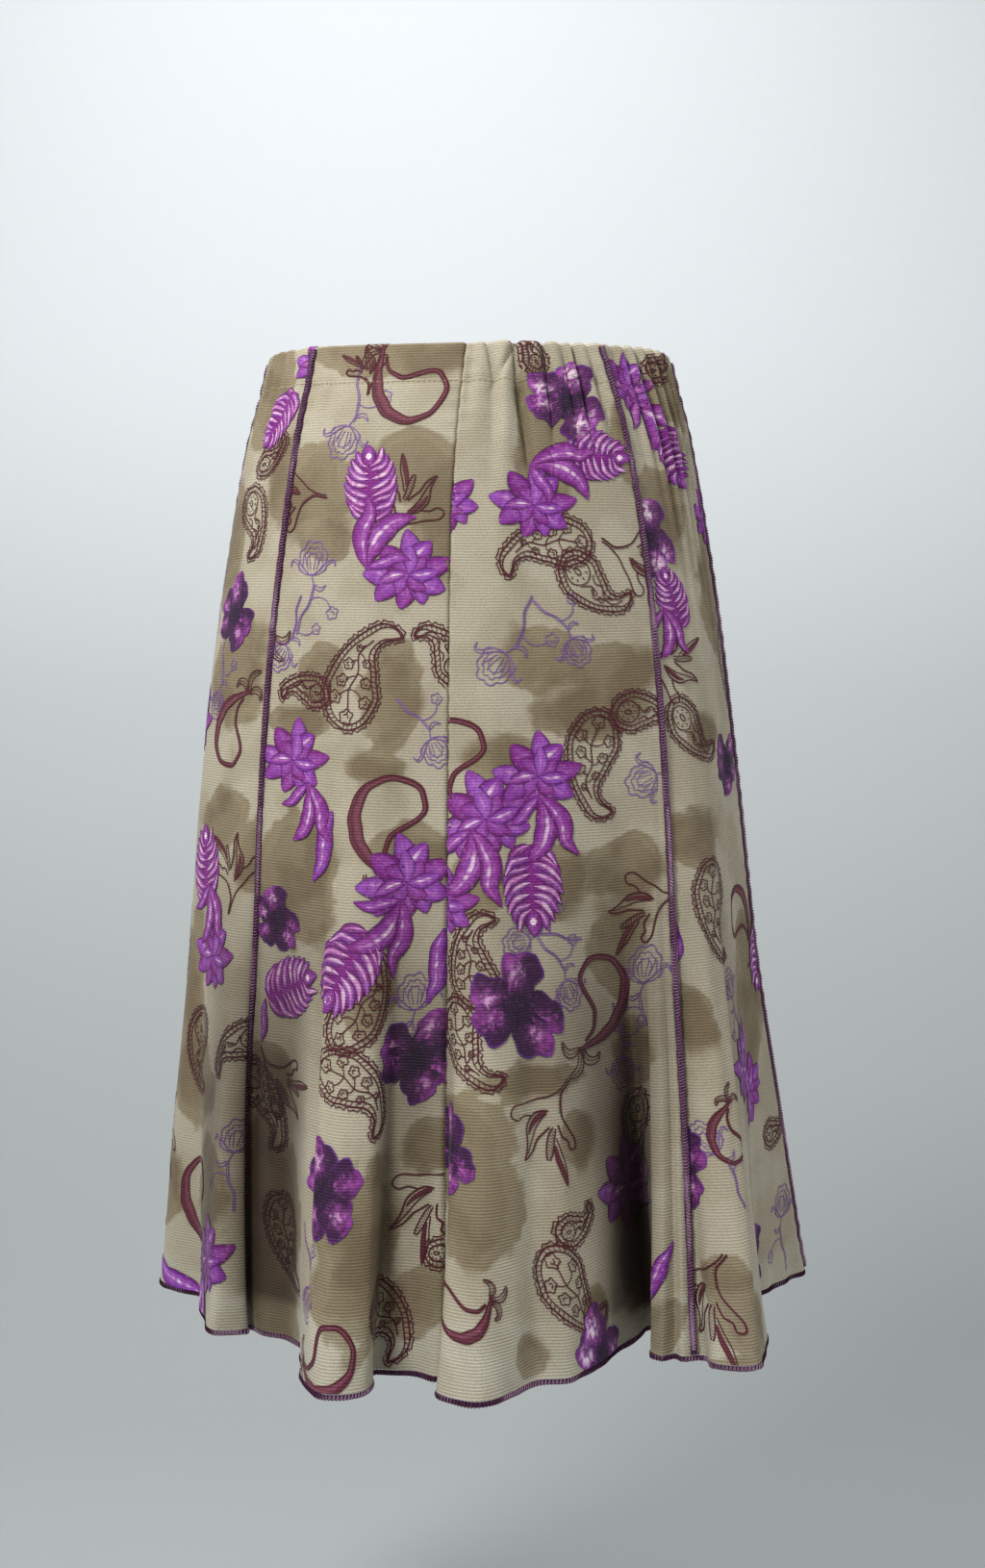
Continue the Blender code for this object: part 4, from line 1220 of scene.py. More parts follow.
# Where the motifs lie on a gore. Across runs towards the wearer's left and down from the top edge.
# An angle turns the motif's tip from the waist towards the wearer's left; hand -1 mirrors it.
PRINT = {
    "gore_back_left": {
        # across mm, down mm, size mm, angle, hand
        "paisley": ((-1, 226, 38, -14, -1), (26, 226, 20, 75, 1), (-64, 206, 24, 30, 1),
            (-16, 426, 33, -30, 1), (-12, 459, 33, -120, -1), (82, 478, 30, -140, -1),
            (72, 560, 30, 178, 1), (-64, 594, 33, -115, -1), (-104, 560, 17, -80, 1)),
        "hook": ((-24, 31, 24, -125, 1), (74, 160, 22, 10, -1), (-32, 300, 27, -8, -1),
            (-16, 612, 20, -60, 1)),
        "lily": ((9, 20, 17, 10, 1), (48, 100, 26, 90, 1), (-27, 110, 26, -40, 1),
            (61, 470, 27, -137, 1), (-92, 525, 30, 135, 1)),
        "posy": ((19, 63, 21, 165, 1), (33, 142, 21, 0, -1), (54, 203, 18, 150, 1),
            (-57, 260, 18, -150, 1), (-56, 410, 21, 10, 1), (14, 590, 19, 185, 1)),
        "bloom": ((-33, 150, 27, 12, 1), (40, 270, 26, 0, 1), (-44, 342, 29, 20, 1)),
        "cone": ((-3, 93, 25, 8, 1), (-9, 396, 29, 150, 1), (42, 412, 26, -68, 1)),
        "sepals": ((-15, 126, 23, -25, 1), (28, 303, 20, 180, 1), (-30, 372, 23, 150, 1)),
        "leaf": ((13, 322, 24, 170, 1), (-68, 392, 24, 178, 1), (70, 436, 15, 170, 1)),
        "pansy": ((54, 372, 21, 30, 1), (-63, 448, 29, 15, 1), (-6, 525, 27, 50, 1)),
    },
    "gore_back_right": {
        "paisley": ((2, 12, 16, 20, 1), (-6, 130, 33, 95, 1), (-18, 151, 29, -135, 1),
            (-23, 258, 36, 170, 1), (-50, 239, 25, -95, -1), (61, 398, 30, 2, -1),
            (74, 428, 30, -165, 1), (-60, 492, 27, 175, 1), (17, 549, 19, -82, 1),
            (27, 577, 36, -148, 1)),
        "hook": ((68, 262, 25, -8, -1), (-28, 411, 25, -15, 1), (112, 584, 17, 90, -1)),
        "lily": ((-54, 138, 28, -115, 1), (-65, 360, 27, 96, 1), (19, 480, 30, 139, 1)),
        "posy": ((40, 207, 22, 140, 1), (-12, 198, 18, -150, 1), (-58, 282, 21, 110, 1),
            (30, 378, 19, 100, -1), (-3, 410, 18, -160, 1), (-62, 400, 22, 0, 1),
            (-47, 463, 19, 180, 1)),
        "bloom": ((68, 105, 23, 30, 1), (11, 106, 26, 0, 1), (15, 277, 27, 5, 1),
            (49, 303, 30, 25, 1), (80, 354, 24, 0, 1), (-47, 535, 30, 10, 1)),
        "cone": ((-33, 74, 23, -95, 1), (20, 345, 28, 180, 1)),
        "sepals": ((-10, 86, 22, -105, 1), (13, 310, 22, 185, 1), (62, 332, 24, 170, 1)),
        "leaf": ((-120, 586, 22, 172, 1),),
        "pansy": ((34, 418, 32, 20, 1), (98, 498, 24, 0, 1)),
        "pale pansy": ((-17, 40, 27, 10, 1), (2, 627, 29, 40, 1)),
    },
    "gore_side_back_left": {
        "paisley": ((-20, 76, 18, -60, 1), (-13, 106, 27, -145, -1), (-12, 456, 29, 178, 1),
            (-76, 450, 24, 120, 1), (36, 410, 28, -20, 1)),
        "hook": ((-22, 258, 22, 165, 1), (-24, 560, 27, 10, -1)),
        "lily": ((-44, 350, 27, 0, 1), (30, 520, 28, 150, 1)),
        "posy": ((2, 236, 18, 170, 1), (-82, 512, 20, 0, 1), (40, 150, 20, 20, 1)),
        "bloom": ((-48, 12, 19, 0, 1), (-26, 402, 27, 0, 1), (36, 250, 26, 0, 1),
            (-70, 592, 27, 20, 1)),
        "cone": ((-24, 47, 21, 148, 1), (-4, 345, 27, 10, 1)),
        "sepals": ((-14, 377, 21, 185, 1), (-46, 622, 26, 150, 1)),
        "leaf": ((2, 626, 30, 70, 1),),
        "pansy": ((-10, 178, 25, 20, 1), (60, 590, 28, 0, 1)),
    },
    "gore_side_back_right": {
        "paisley": ((2, 14, 18, -70, 1), (31, 247, 28, -142, 1), (27, 358, 35, 172, 1),
            (-76, 530, 18, -80, 1), (-45, 200, 30, 170, 1)),
        "hook": ((-30, 380, 22, 60, 1), (58, 508, 15, 180, 1)),
        "lily": ((42, 208, 28, -115, 1), (97, 590, 31, 140, 1)),
        "posy": ((74, 506, 19, 30, -1), (-94, 580, 20, 0, 1), (10, 420, 18, 20, 1)),
        "bloom": ((32, 27, 21, 0, 1), (-6, 476, 27, 0, 1), (-40, 110, 24, 0, 1),
            (-40, 496, 23, 80, 1)),
        "cone": ((4, 73, 21, -160, 1), (28, 167, 21, 15, 1), (-70, 410, 24, 160, 1)),
        "sepals": ((21, 51, 17, -150, 1), (37, 190, 17, 185, 1)),
        "leaf": ((63, 386, 14, 175, 1), (-26, 462, 19, 20, 1)),
        "pansy": ((-24, 277, 23, 0, 1), (103, 518, 29, 30, 1), (-40, 610, 28, 0, 1)),
        "pale pansy": ((43, 128, 27, 10, 1),),
    },
}

# The front gores are cut from the same print: from which gore, moved across and down in mm
PRINT_MOVED = {
    "gore_side_front_left": ("gore_side_back_right", 18, 205),
    "gore_front_left": ("gore_back_right", -24, 310),
    "gore_front_right": ("gore_back_left", 30, 265),
    "gore_side_front_right": ("gore_side_back_left", 10, 130),
}
PRINT_REPEAT = 0.690              # down the cloth
PRINT_END = LENGTH / MM + 30      # mm down, past which a moved motif begins the next repeat

BLOTS = {  # olive areas of the ground
    "gore_back_left": (
        # across mm, down mm, half width mm, half height mm
        (-10, 6, 62, 16), (38, 96, 34, 30), (-30, 82, 34, 24), (-50, 112, 18, 40),
        (24, 128, 20, 14), (-26, 228, 20, 34), (22, 215, 16, 20), (36, 246, 24, 12),
        (-48, 330, 26, 26), (36, 345, 34, 44), (-18, 272, 20, 10), (-24, 412, 20, 22),
        (-38, 560, 38, 52), (-84, 500, 20, 16), (78, 545, 34, 44),
        (70, 470, 20, 22), (-96, 590, 22, 22), (96, 602, 24, 46),
    ),
    "gore_back_right": (
        (0, 62, 20, 46), (6, 206, 32, 20), (-40, 212, 34, 18),
        (-22, 236, 40, 18), (34, 266, 30, 14), (0, 342, 18, 22), (-46, 336, 26, 20),
        (56, 342, 16, 20), (-40, 384, 22, 28), (28, 460, 40, 9), (84, 524, 34, 38),
        (-2, 498, 16, 16), (-56, 452, 18, 20), (2, 604, 15, 20), (62, 616, 15, 12),
        (-64, 578, 30, 36), (-62, 60, 14, 40), (84, 488, 40, 20), (-138, 616, 16, 16),
    ),
    "gore_side_back_left": (
        (-4, 28, 26, 34), (-44, 90, 16, 30), (-20, 214, 32, 36), (14, 130, 22, 40),
        (-24, 310, 30, 20), (6, 440, 18, 60), (-60, 330, 20, 24), (-52, 560, 34, 40),
        (24, 560, 24, 30), (50, 340, 24, 40), (-30, 490, 26, 18), (-8, 486, 30, 34),
    ),
    "gore_side_back_right": (
        (26, 110, 26, 30), (-10, 30, 26, 22), (-30, 160, 26, 40), (34, 322, 28, 20),
        (62, 436, 16, 22), (-54, 410, 30, 34), (10, 255, 20, 14), (86, 640, 34, 14),
        (0, 560, 24, 22), (-36, 446, 34, 44), (84, 590, 18, 18), (72, 612, 26, 20),
    ),
}
BLOT_FALL = 0.35          # the field is this flat outside a blot


def gore_rows(table, gore):
    """A gore's rows of a table, and how far they are moved across and down in mm."""
    if gore in table:
        return table[gore], 0.0, 0.0
    source, across, down = PRINT_MOVED[gore]
    return table[source], across, down


def moved_down(down, move):
    """A place down the repeat after a move, in mm, kept between the waist and the hem."""
    place = down + move
    return place - PRINT_REPEAT / MM if place > PRINT_END else place


def draw_print(gore):
    """The ink of one gore, the purple flowers last."""
    ink = Ink()
    rows, move_across, move_down = gore_rows(PRINT, gore)
    for motif, draw in DRAWN.items():
        for across, down, *turned in rows.get(motif, ()):
            ink.move_to(across + move_across, moved_down(down, move_down), *turned)
            draw(ink)
    return ink


def blot_field(gore, across, down):
    """Above 0 inside the olive areas of the ground, below 0 outside, smooth between."""
    rows, move_across, move_down = gore_rows(BLOTS, gore)
    field = np.full(across.shape, -1.0)
    for x, y, half_width, half_height in rows:
        x, y = (x + move_across) * MM, moved_down(y, move_down) * MM
        distance = np.hypot((across - x) / (half_width * MM), (down - y) / (half_height * MM))
        field = np.maximum(field, 1 - distance)
    return np.maximum(field, -BLOT_FALL)


# ---------------------------------------------------------------- shader arithmetic

class Number:
    """A number in a shader. Arithmetic on it adds Math nodes."""

    def __init__(self, graph, socket):
        self.graph = graph
        self.socket = socket

    def __add__(self, other):
        return self.graph.math("ADD", self, other)

    def __sub__(self, other):
        return self.graph.math("SUBTRACT", self, other)

    def __rsub__(self, other):
        return self.graph.math("SUBTRACT", other, self)

    def __mul__(self, other):
        return self.graph.math("MULTIPLY", self, other)


class Graph:
    """One material and short ways to add its nodes."""

    def __init__(self, name):
        self.material = bpy.data.materials.new(name)
        self.material.use_nodes = True
        self.nodes = self.material.node_tree.nodes
        self.links = self.material.node_tree.links
        self.shader = self.nodes["Principled BSDF"]

    def put(self, socket, value):
        if isinstance(value, Number):
            value = value.socket
        if isinstance(value, bpy.types.NodeSocket):
            self.links.new(value, socket)
        else:
            socket.default_value = value

    def add(self, kind, *values, **settings):
        """A node with its settings, and with values for its first inputs."""
        node = self.nodes.new("ShaderNode" + kind)
        for name, setting in settings.items():
            setattr(node, name, setting)
        for socket, value in zip(node.inputs, values):
            self.put(socket, value)
        return node

    def math(self, operation, *values):
        return Number(self, self.add("Math", *values, operation=operation).outputs[0])

    def rise(self, value, low, high):
        """0 below low and 1 above high, soft between; falls where low is above high."""
        node = self.add("MapRange", value, low, high, interpolation_type="SMOOTHSTEP")
        return Number(self, node.outputs["Result"])

    def wave(self, phase):
        """Between 0 and 1, along a phase in radians."""
        return self.math("SINE", phase) * 0.5 + 0.5

    def split(self, vector):
        return [Number(self, socket) for socket in self.add("SeparateXYZ", vector).outputs]

    def attribute(self, name):
        return self.split(self.add("Attribute", attribute_name=name).outputs["Vector"])

    def vector(self, *values):
        return self.add("CombineXYZ", *values).outputs[0]

    def noise(self, vector, scale, detail):
        node = self.add("TexNoise")
        for name, value in (("Vector", vector), ("Scale", scale), ("Detail", detail)):
            self.put(node.inputs[name], value)
        return Number(self, node.outputs["Fac"])

    def mix(self, factor, first, second, blend="MIX"):
        node = self.add("Mix", factor, data_type="RGBA", blend_type=blend)
        self.put(node.inputs[6], first)
        self.put(node.inputs[7], second)
        return node.outputs[2]

    def shaded(self, colour, shade):
        """A colour times a shade of at most 1."""
        shade = self.math("MINIMUM", shade, 1.0)
        return self.mix(1.0, colour, self.vector(shade, shade, shade), blend="MULTIPLY")

    def finish(self, colour, roughness, height_value, distance, strength=0.8, sheen=0.0):
        """The material, with a relief over its surface as deep as the distance."""
        relief = self.add("Bump")
        values = (("Height", height_value), ("Distance", distance), ("Strength", strength))
        for name, value in values:
            self.put(relief.inputs[name], value)
        values = {
            "Base Color": colour, "Roughness": roughness, "Normal": relief.outputs["Normal"],
            "Sheen Weight": sheen, "Sheen Roughness": 0.4, "Specular IOR Level": 0.3,
        }
        for name, value in values.items():
            self.put(self.shader.inputs[name], value)
        return self.material


# ---------------------------------------------------------------- the printed knit

COLOURS = {
    "cream": srgb(186, 180, 162),
    "olive": srgb(145, 132, 106),
    "dark olive": srgb(110, 94, 70),
    "reverse": srgb(186, 178, 160),
    # the lining showing through the sheer cloth, and painted shade where it keeps light from coming
    # through
    "lined": srgb(242, 238, 232),
    # painted shade in the lower valleys
    "valley": srgb(106, 86, 74),
}
RIB_PITCH = 1.76 * MM             # of the printed knit's crosswise ribs
LINING_PITCH = 1.6 * MM           # of the lining's upright ribs
TWIST_PITCH = 0.9 * MM            # of the thread
WEAVE_PITCH = 1.4 * MM            # of the elastic's ribs
FULL_TURN = 2 * math.pi


def knit_surface(graph, colour, across, down, turn, ribs):
    """Crosswise ribs and yarns over a colour; the lining showing through, with painted shade where it
    lies behind; and painted shade in the lower valleys.
    """
    lined, near, _ = graph.attribute("lining_and_valley_shade")
    # darker where the lining lies behind: its tone through the sheer cloth, and painted shade where it
    # keeps light out
    colour = graph.mix(lined, colour, COLOURS["lined"], blend="MULTIPLY")
    # painted shade in the lower valleys, where the lining lies near
    colour = graph.mix(near, colour, COLOURS["valley"], blend="MULTIPLY")
    yarn = graph.noise(graph.vector(across * 0.30, down, turn), 2300, detail=1)
    place = graph.vector(across, down, turn)
    loops = graph.noise(place, 900, detail=2)
    wander = graph.noise(place, 26, detail=1)
    rib = graph.wave(down * (FULL_TURN / RIB_PITCH) + wander * 5.0)
    groove = graph.math("POWER", 1 - rib, 2.0)
    shade = 1.04 - groove * ribs - yarn * 0.20 - graph.rise(loops, 0.42, 0.70) * 0.18
    colour = graph.shaded(colour, shade)
    return graph.finish(colour, 0.80 - rib * 0.10, rib * 0.8 + yarn * 0.5, 0.25 * MM, sheen=0.08)


def printed_knit():
    """The knit's own ground: cream with soft olive clouds."""
    graph = Graph("printed_knit")
    across, down, turn = graph.attribute("cloth")
    field, side, _ = graph.attribute("tone")
    place = graph.vector(across, down, turn)
    cloud = graph.noise(place, 42, detail=4)
    broad = graph.noise(place, 24, detail=3)
    edge = field + (cloud - 0.5) * 1.1
    soft = graph.rise(broad, 0.50, 0.62) * 0.18
    blot = graph.rise(edge, -0.12 - soft, soft + 0.04)
    layer = graph.rise(edge + (broad - 0.5) * 0.5, 0.20, 0.30)
    colour = graph.mix(blot * 0.90, COLOURS["cream"], COLOURS["olive"])
    heart = graph.rise(broad, 0.42, 0.60) * blot * 0.45 + layer * 0.22
    colour = graph.mix(heart, colour, COLOURS["dark olive"])
    colour = graph.mix(graph.rise(broad, 0.40, 0.60) * (1 - blot) * 0.32, colour, COLOURS["olive"])
    colour = graph.mix(side * 0.55, colour, COLOURS["reverse"])
    return knit_surface(graph, colour, across, down, turn, blot * 0.10 + 0.13)


def printed_ink():
    """The print's colours in the same knit: petals are uneven, lines are plain."""
    graph = Graph("printed_ink")
    across, down, turn = graph.attribute("cloth")
    painted, _, _ = graph.attribute("tone")
    ink = graph.add("Attribute", attribute_name="ink").outputs["Color"]
    fine = graph.noise(graph.vector(across, down, turn), 420, detail=3)
    colour = graph.mix(painted * graph.rise(fine, 0.54, 0.72) * 0.18, ink, srgb(226, 176, 228))
    colour = graph.mix(painted * graph.rise(fine, 0.48, 0.30) * 0.30, colour, srgb(72, 12, 80))
    return knit_surface(graph, colour, across, down, turn, 0.14)


# ---------------------------------------------------------------- other materials

def lining_knit():
    """Plain thin knit, olive brown, with finer ribs that run down it."""
    graph = Graph("lining_knit")
    across, down, _ = graph.attribute("cloth")
    broad = graph.noise(graph.vector(across, down, 0.0), 30, detail=2)
    yarn = graph.noise(graph.vector(across, down * 0.3, 0.0), 2400, detail=1)
    colour = graph.mix(broad, srgb(176, 162, 136), srgb(160, 146, 120))
    rib = graph.wave(across * (FULL_TURN / LINING_PITCH))
    colour = graph.shaded(colour, rib * 0.08 + yarn * 0.10 + 0.87)
    return graph.finish(colour, 0.72 - rib * 0.08, rib * 0.6 + yarn * 0.4, 0.2 * MM, sheen=0.10)


def thread_material(name, deep, light, speck):
    """Twisted thread, dark at the edges of its row and paler in the middle, with pale specks."""
    graph = Graph(name)
    along, around, aside = graph.attribute("strand")
    twist = graph.wave(along * (FULL_TURN / TWIST_PITCH) + around * 2)
    uneven = graph.noise(graph.vector(along * 0.02, aside * 0.1, 0.0), 900, detail=1)
    colour = graph.mix(twist * 0.3 + graph.rise(aside, 0.70, 0.25) * 0.6, deep, light)
    colour = graph.mix(graph.rise(uneven, 0.52, 0.60) * (1 - aside * 0.75), colour, speck)
    return graph.finish(colour, twist * 0.12 + 0.62, twist, 0.12 * MM, strength=0.9, sheen=0.10)


def woven_elastic():
    """Woven elastic: ribs along the band over pale rubber yarns."""
    graph = Graph("woven_elastic")
    x, y, z = graph.split(graph.add("TexCoord").outputs["Object"])
    rib = graph.wave(z * (FULL_TURN / WEAVE_PITCH))
    weft = graph.wave(graph.math("ARCTAN2", y, x) * 900)
    colour = graph.mix(rib * 0.6 + weft * 0.3, srgb(196, 190, 176), srgb(232, 228, 218))
    return graph.finish(colour, 0.80 - rib * 0.1, rib + weft * 0.5, 0.15 * MM)


def backdrop_paper():
    """Pale blue-grey paper, with painted shade that makes it darker towards the floor."""
    graph = Graph("backdrop_paper")
    place = graph.add("TexCoord").outputs["Object"]
    grain = graph.noise(place, 60, detail=3)
    # painted shade: darker towards the floor, where less light falls
    up = graph.rise(graph.split(place)[2], -1.0, 0.5)
    colour = graph.mix(up, srgb(164, 168, 168), srgb(222, 226, 229))
    colour = graph.mix(grain * 0.05, colour, srgb(150, 158, 162))
    return graph.finish(colour, 0.9, grain, 0.2 * MM, strength=0.3)


# ---------------------------------------------------------------- gores

LINING_FADE = 5.0 * MM            # the edge of the lining's tone and painted shade shows through this softly
LINING_SHADE = 0.30               # and that painted shade ends higher up where the cloth stands further out
VALLEY_SHADE = (0.066, 0.040, 0.300, 0.220)      # reach and depth over which a valley gets painted shade, m
VALLEY_SIDES = (0.25, 0.30)       # no painted valley shade at the sides, which are open
VALLEY_BARE = 0.35                # share of the painted valley shade where no lining lies behind
EDGE_OF_MAP = 0.01                # left free round each flat map
GORE_TURN = 0.37                  # keeps the noise of one gore apart from the next


def behind(points, down):
    """Painted shade from behind the cloth: the share lined, where the lining shows through the sheer
    cloth and keeps light from coming through, and the painted shade of the lower valleys, where the
    lining lies near.
    """
    way = np.arctan2(points[..., 0], points[..., 1])
    _, wide, deep_back, deep_front = LINING_RINGS[-1]
    deep = np.where(np.cos(way) > 0, deep_back, deep_front)
    inner = 1 / np.hypot(np.sin(way) / wide, np.cos(way) / deep)
    reach = np.linalg.norm(points[..., :2], axis=-1) - inner
    # the lining's painted shade ends higher where the cloth stands further out
    end = LINING_LENGTH - LINING_SHADE * np.clip(reach, 0, None)
    lined = smoothstep((end - down) / LINING_FADE)
    # painted shade in the lower valleys, where the lining lies near
    near = smoothstep((VALLEY_SHADE[0] - reach) / VALLEY_SHADE[1]) * smoothstep((down - VALLEY_SHADE[2]) / VALLEY_SHADE[3])
    near = near * smoothstep((np.abs(np.cos(way)) - VALLEY_SIDES[0]) / VALLEY_SIDES[1])
    return lined, near * (VALLEY_BARE + (1 - VALLEY_BARE) * lined)


def tell_knit(piece, gore, across, down, field, side, lined, near, halves):
    """What the knit's material reads, from values at each face corner, and a map for textures.
    In the map of a shell, the inside lies beside the outside."""
    none = np.zeros_like(across)
    corner_vectors(piece, "cloth", np.stack((across, down, none + GORE_TURN * gore), axis=-1))
    corner_vectors(piece, "tone", np.stack((field, side, none), axis=-1))
    # the lining's tone with its painted shade, and the painted valley shade, on the outside only
    corner_vectors(piece, "lining_and_valley_shade", np.stack((lined * (1 - side), near * (1 - side), none), axis=-1))
    wide = np.abs(across).max() * 2
    u = (across / wide + 0.5) * (1 / halves - 2 * EDGE_OF_MAP) + EDGE_OF_MAP + side / halves
    v = 1 - EDGE_OF_MAP - (down - down.min()) / np.ptp(down) * (1 - 2 * EDGE_OF_MAP)
    layer = piece.data.uv_layers.new(name="OFBake")
    layer.uv.foreach_set("vector", np.stack((u, v), axis=-1).astype(np.float32).ravel())


def make_gore(surface, gore, name, material):
    """A gore as a thin shell with its casing turned over, flat places at each corner."""
    points, normals, across, down = surface.strips(gore)
    outside, inside, rim = shell_quads(*points.shape[:2])
    both = np.stack((points + normals * CLOTH / 2, points - normals * CLOTH / 2))
    quads = np.concatenate((outside, inside, rim))
    piece = make_mesh(name, both, quads, material)
    # lined and near: the painted shade from behind the cloth, at each corner
    across, down, lined, near = (
        np.tile(values.ravel(), 2)[quads] for values in (across, down, *behind(points, down))
    )
    side = np.zeros_like(across)
    side[len(outside):len(outside) + len(inside)] = 1.0
    field = blot_field(name, across, down)
    tell_knit(piece, gore, across, down, field, side, lined, near, halves=2)
    dress(piece, "printed_knit", name)
    return piece


def facing_out(flat, quads):
    """The quads turned round where they would face the inside of the cloth."""
    corners = flat[quads][:, :, :2]
    after = np.roll(corners, -1, axis=1)
    area = (corners[..., 0] * after[..., 1] - after[..., 0] * corners[..., 1]).sum(axis=1)
    quads = quads.copy()
    quads[area < 0] = quads[area < 0][:, ::-1]
    return quads


def make_print(surface, gore, name, material):
    """The ink on a gore: a thin coloured skin that follows the cloth's outside."""
    ink = draw_print(name)
    flat = np.concatenate(ink.parts)
    quads = np.concatenate(ink.quads)
    lift = INK_LIFT + flat[:, 2] * INK_STEP
    points, normals, beyond = surface.lay(gore, flat[:, 0], flat[:, 1], lift)
    corners = beyond[quads]
    gone = (corners[:, 0] > 0) & (corners == corners[:, :1]).all(axis=1)
    quads = facing_out(flat, quads[~gone])
    used, quads = np.unique(quads, return_inverse=True)
    quads = quads.reshape(-1, 4)
    points, flat = points[used], flat[used]
    piece = make_mesh("print_" + name.replace("gore_", ""), points, quads, material)
    piece.data.normals_split_custom_set_from_vertices(normals[used].tolist())
    # the same painted shade from behind as the cloth under it
    at_corners = np.column_stack((flat, *behind(points, flat[:, 1]), np.ones(len(flat))))[quads]
    across, down, _, painted, red, green, blue, lined, near, solid = np.moveaxis(at_corners, -1, 0)
    tell_knit(piece, gore, across, down, painted, np.zeros_like(across), lined, near, halves=1)
    colours = piece.data.color_attributes.new("ink", "FLOAT_COLOR", "CORNER")
    rgba = np.stack((red, green, blue, solid), axis=-1)
    colours.data.foreach_set("color", rgba.astype(np.float32).ravel())
    dress(piece, "printed_knit")
    return piece


# ---------------------------------------------------------------- lining

LINING_WALL = 0.6 * MM
LINING_CELLS = 64
LINING_STEP = 12.0 * MM
LINING_HEM = 9.0 * MM             # the last stretch is double, and so thicker
LINING_HEM_ROWS = (0.4, 1.2, 4.0, 7.6, 9.0)     # mm down this hem
LINING_HEM_WALL = LINING_WALL * 1.7
LINING_WAVES_START, LINING_WAVES_GROWTH = 0.10, 0.45      # m down, and m to their full rise
LINING_WAVES = (  # soft folds of the hanging lining
    # waves round, rise mm at the hem, turn
    (9, 1.6, 0.4),
    (14, 1.1, 1.9),
    (23, 0.5, 3.1),
)
LINING_HIP = LINING_RINGS[3][1]         # half width at the hip, for places across the flat lining


def lining_lift(azimuth, depth):
    """How far the lining's soft folds stand out, in metres."""
    down = smoothstep((depth - LINING_WAVES_START) / LINING_WAVES_GROWTH)
    lift = sum(
        rise * np.sin(waves * azimuth + turn + 0.8 * depth) for waves, rise, turn in LINING_WAVES
    )
    return lift * down * MM


def make_lining(name, first, last, material):
    """Half of the lining between two azimuths in radians, with a narrow double hem."""
    side_gap = GAP / 2 / LINING_RINGS[0][2]
    azimuth = np.linspace(first + side_gap, last - side_gap, LINING_CELLS + 1)
    start, fold = LINING_RINGS[0][0], LINING_LENGTH - LINING_HEM
    plain = np.linspace(start, fold, int((LINING_LENGTH - start) / LINING_STEP))
    depths = np.concatenate((plain, fold + np.array(LINING_HEM_ROWS) * MM))
    thick = np.where(depths > fold, LINING_HEM_WALL, LINING_WALL)
    sides = []
    for sign in (-1, 1):
        rows = []
        for depth, wall in zip(depths, thick):
            inset = sign * wall / 2 - lining_lift(azimuth, depth)
            flat, _ = ring_point(LINING_RINGS, azimuth, depth, inset)
            rows.append(np.column_stack([flat, height(azimuth, depth)]))
        sides.append(np.stack(rows))
    both = np.stack(sides)
    quads = np.concatenate(shell_quads(*both.shape[1:3]))
    piece = make_mesh(name, both, quads, material)
    across, down = np.meshgrid(azimuth * LINING_HIP, depths)
    flat = np.stack((across, down, np.zeros_like(down)), axis=-1).reshape(-1, 3)
    corner_vectors(piece, "cloth", np.tile(flat, (2, 1))[quads])
    dress(piece, "lining_knit", name)


# ---------------------------------------------------------------- thread

THREAD = 0.36 * MM                # radius of the overlock's yarns
SEAM_PITCH = 1.9 * MM
SEAM_START = 0.5 * MM             # of the first stitch from the casing
SEAM_LEAN = 2.2 * MM              # how far the free side of a seam's row stands off the cloth
SEAM_HALF = OVERLOCK_WIDTH / 2 + 0.2 * MM - THREAD       # to the middle of the outer yarns
SEAM_LIFT = 0.1 * MM              # of the yarns over the cloth
SEAM_STITCH = (  # one stitch of an overlocked seam: across in half widths, rise in mm, share on
    (-1.00, 0.15, 0.00), (-0.55, 0.66, 0.14), (0.10, 0.82, 0.30), (0.70, 0.56, 0.42),
    (1.00, 0.15, 0.52), (0.45, 0.66, 0.68), (-0.45, 0.66, 0.86),
)
RIDGE = {"rise": 0.55 * MM, "sink": 0.1 * MM, "step": 3.0 * MM, "end": 0.3 * MM}
HEM_PITCH = 2.2 * MM
HEM_STITCH = (  # one stitch over the hem's edge: down mm, out mm from its middle, share on
    (-0.2, 1.00, 0.00), (1.3, 1.25, 0.16), (2.8, 1.05, 0.32), (3.5, 0.10, 0.42),
    (2.6, -1.10, 0.54), (0.8, -1.10, 0.68), (2.8, -0.90, 0.82), (3.2, 0.55, 0.92),
)
HEM_SHARE = (0.88, 0.62)          # of those sizes, down and out
HEM_CORE = ((0.0, 0.35), (2.6, 0.45), (3.0, 0.0), (2.6, -0.45), (0.0, -0.35))      # mm inside them
HEM_CORE_ROWS = 500
STITCH = {"length": 2.7 * MM, "gap": 0.7 * MM, "radius": 0.22 * MM}      # along the casing
STITCH_ARCH = (  # share of the length, rise in mm
    (0.0, -0.15), (0.15, 0.38), (0.5, 0.50), (0.85, 0.38), (1.0, -0.15),
)


class Edge:
    """A line along the cloth at even steps: points, outward and down or sideways directions."""

    def __init__(self, *values, closed=False):
        if closed:
            values = [np.concatenate((value, value[:1])) for value in values]
        self.values = values
        self.arc = arc_along(values[0])

    def at(self, arc):
        return [at_arc(arc, self.arc, value) for value in self.values]


def thread_piece(name, parts, strands, material, *nodes):
    """A mesh of thread, with where each corner lies along its strand."""
    points, quads = join(parts)
    piece = make_mesh(name, points, quads, material, smooth_angle=80)
    corner_vectors(piece, "strand", np.concatenate(strands)[quads])
    dress(piece, "overlock_thread", *nodes)


def strand_values(arc, aside, sides=TUBE_SIDES, turn=FULL_TURN):
    """Along the strand, round it and how far from the middle of its row, at each of its points."""
    around = np.arange(sides) * turn / sides
    values = np.broadcast_arrays(arc[:, None], around, np.reshape(aside, (-1, 1)))
    return np.stack(values, axis=-1).reshape(-1, 3)


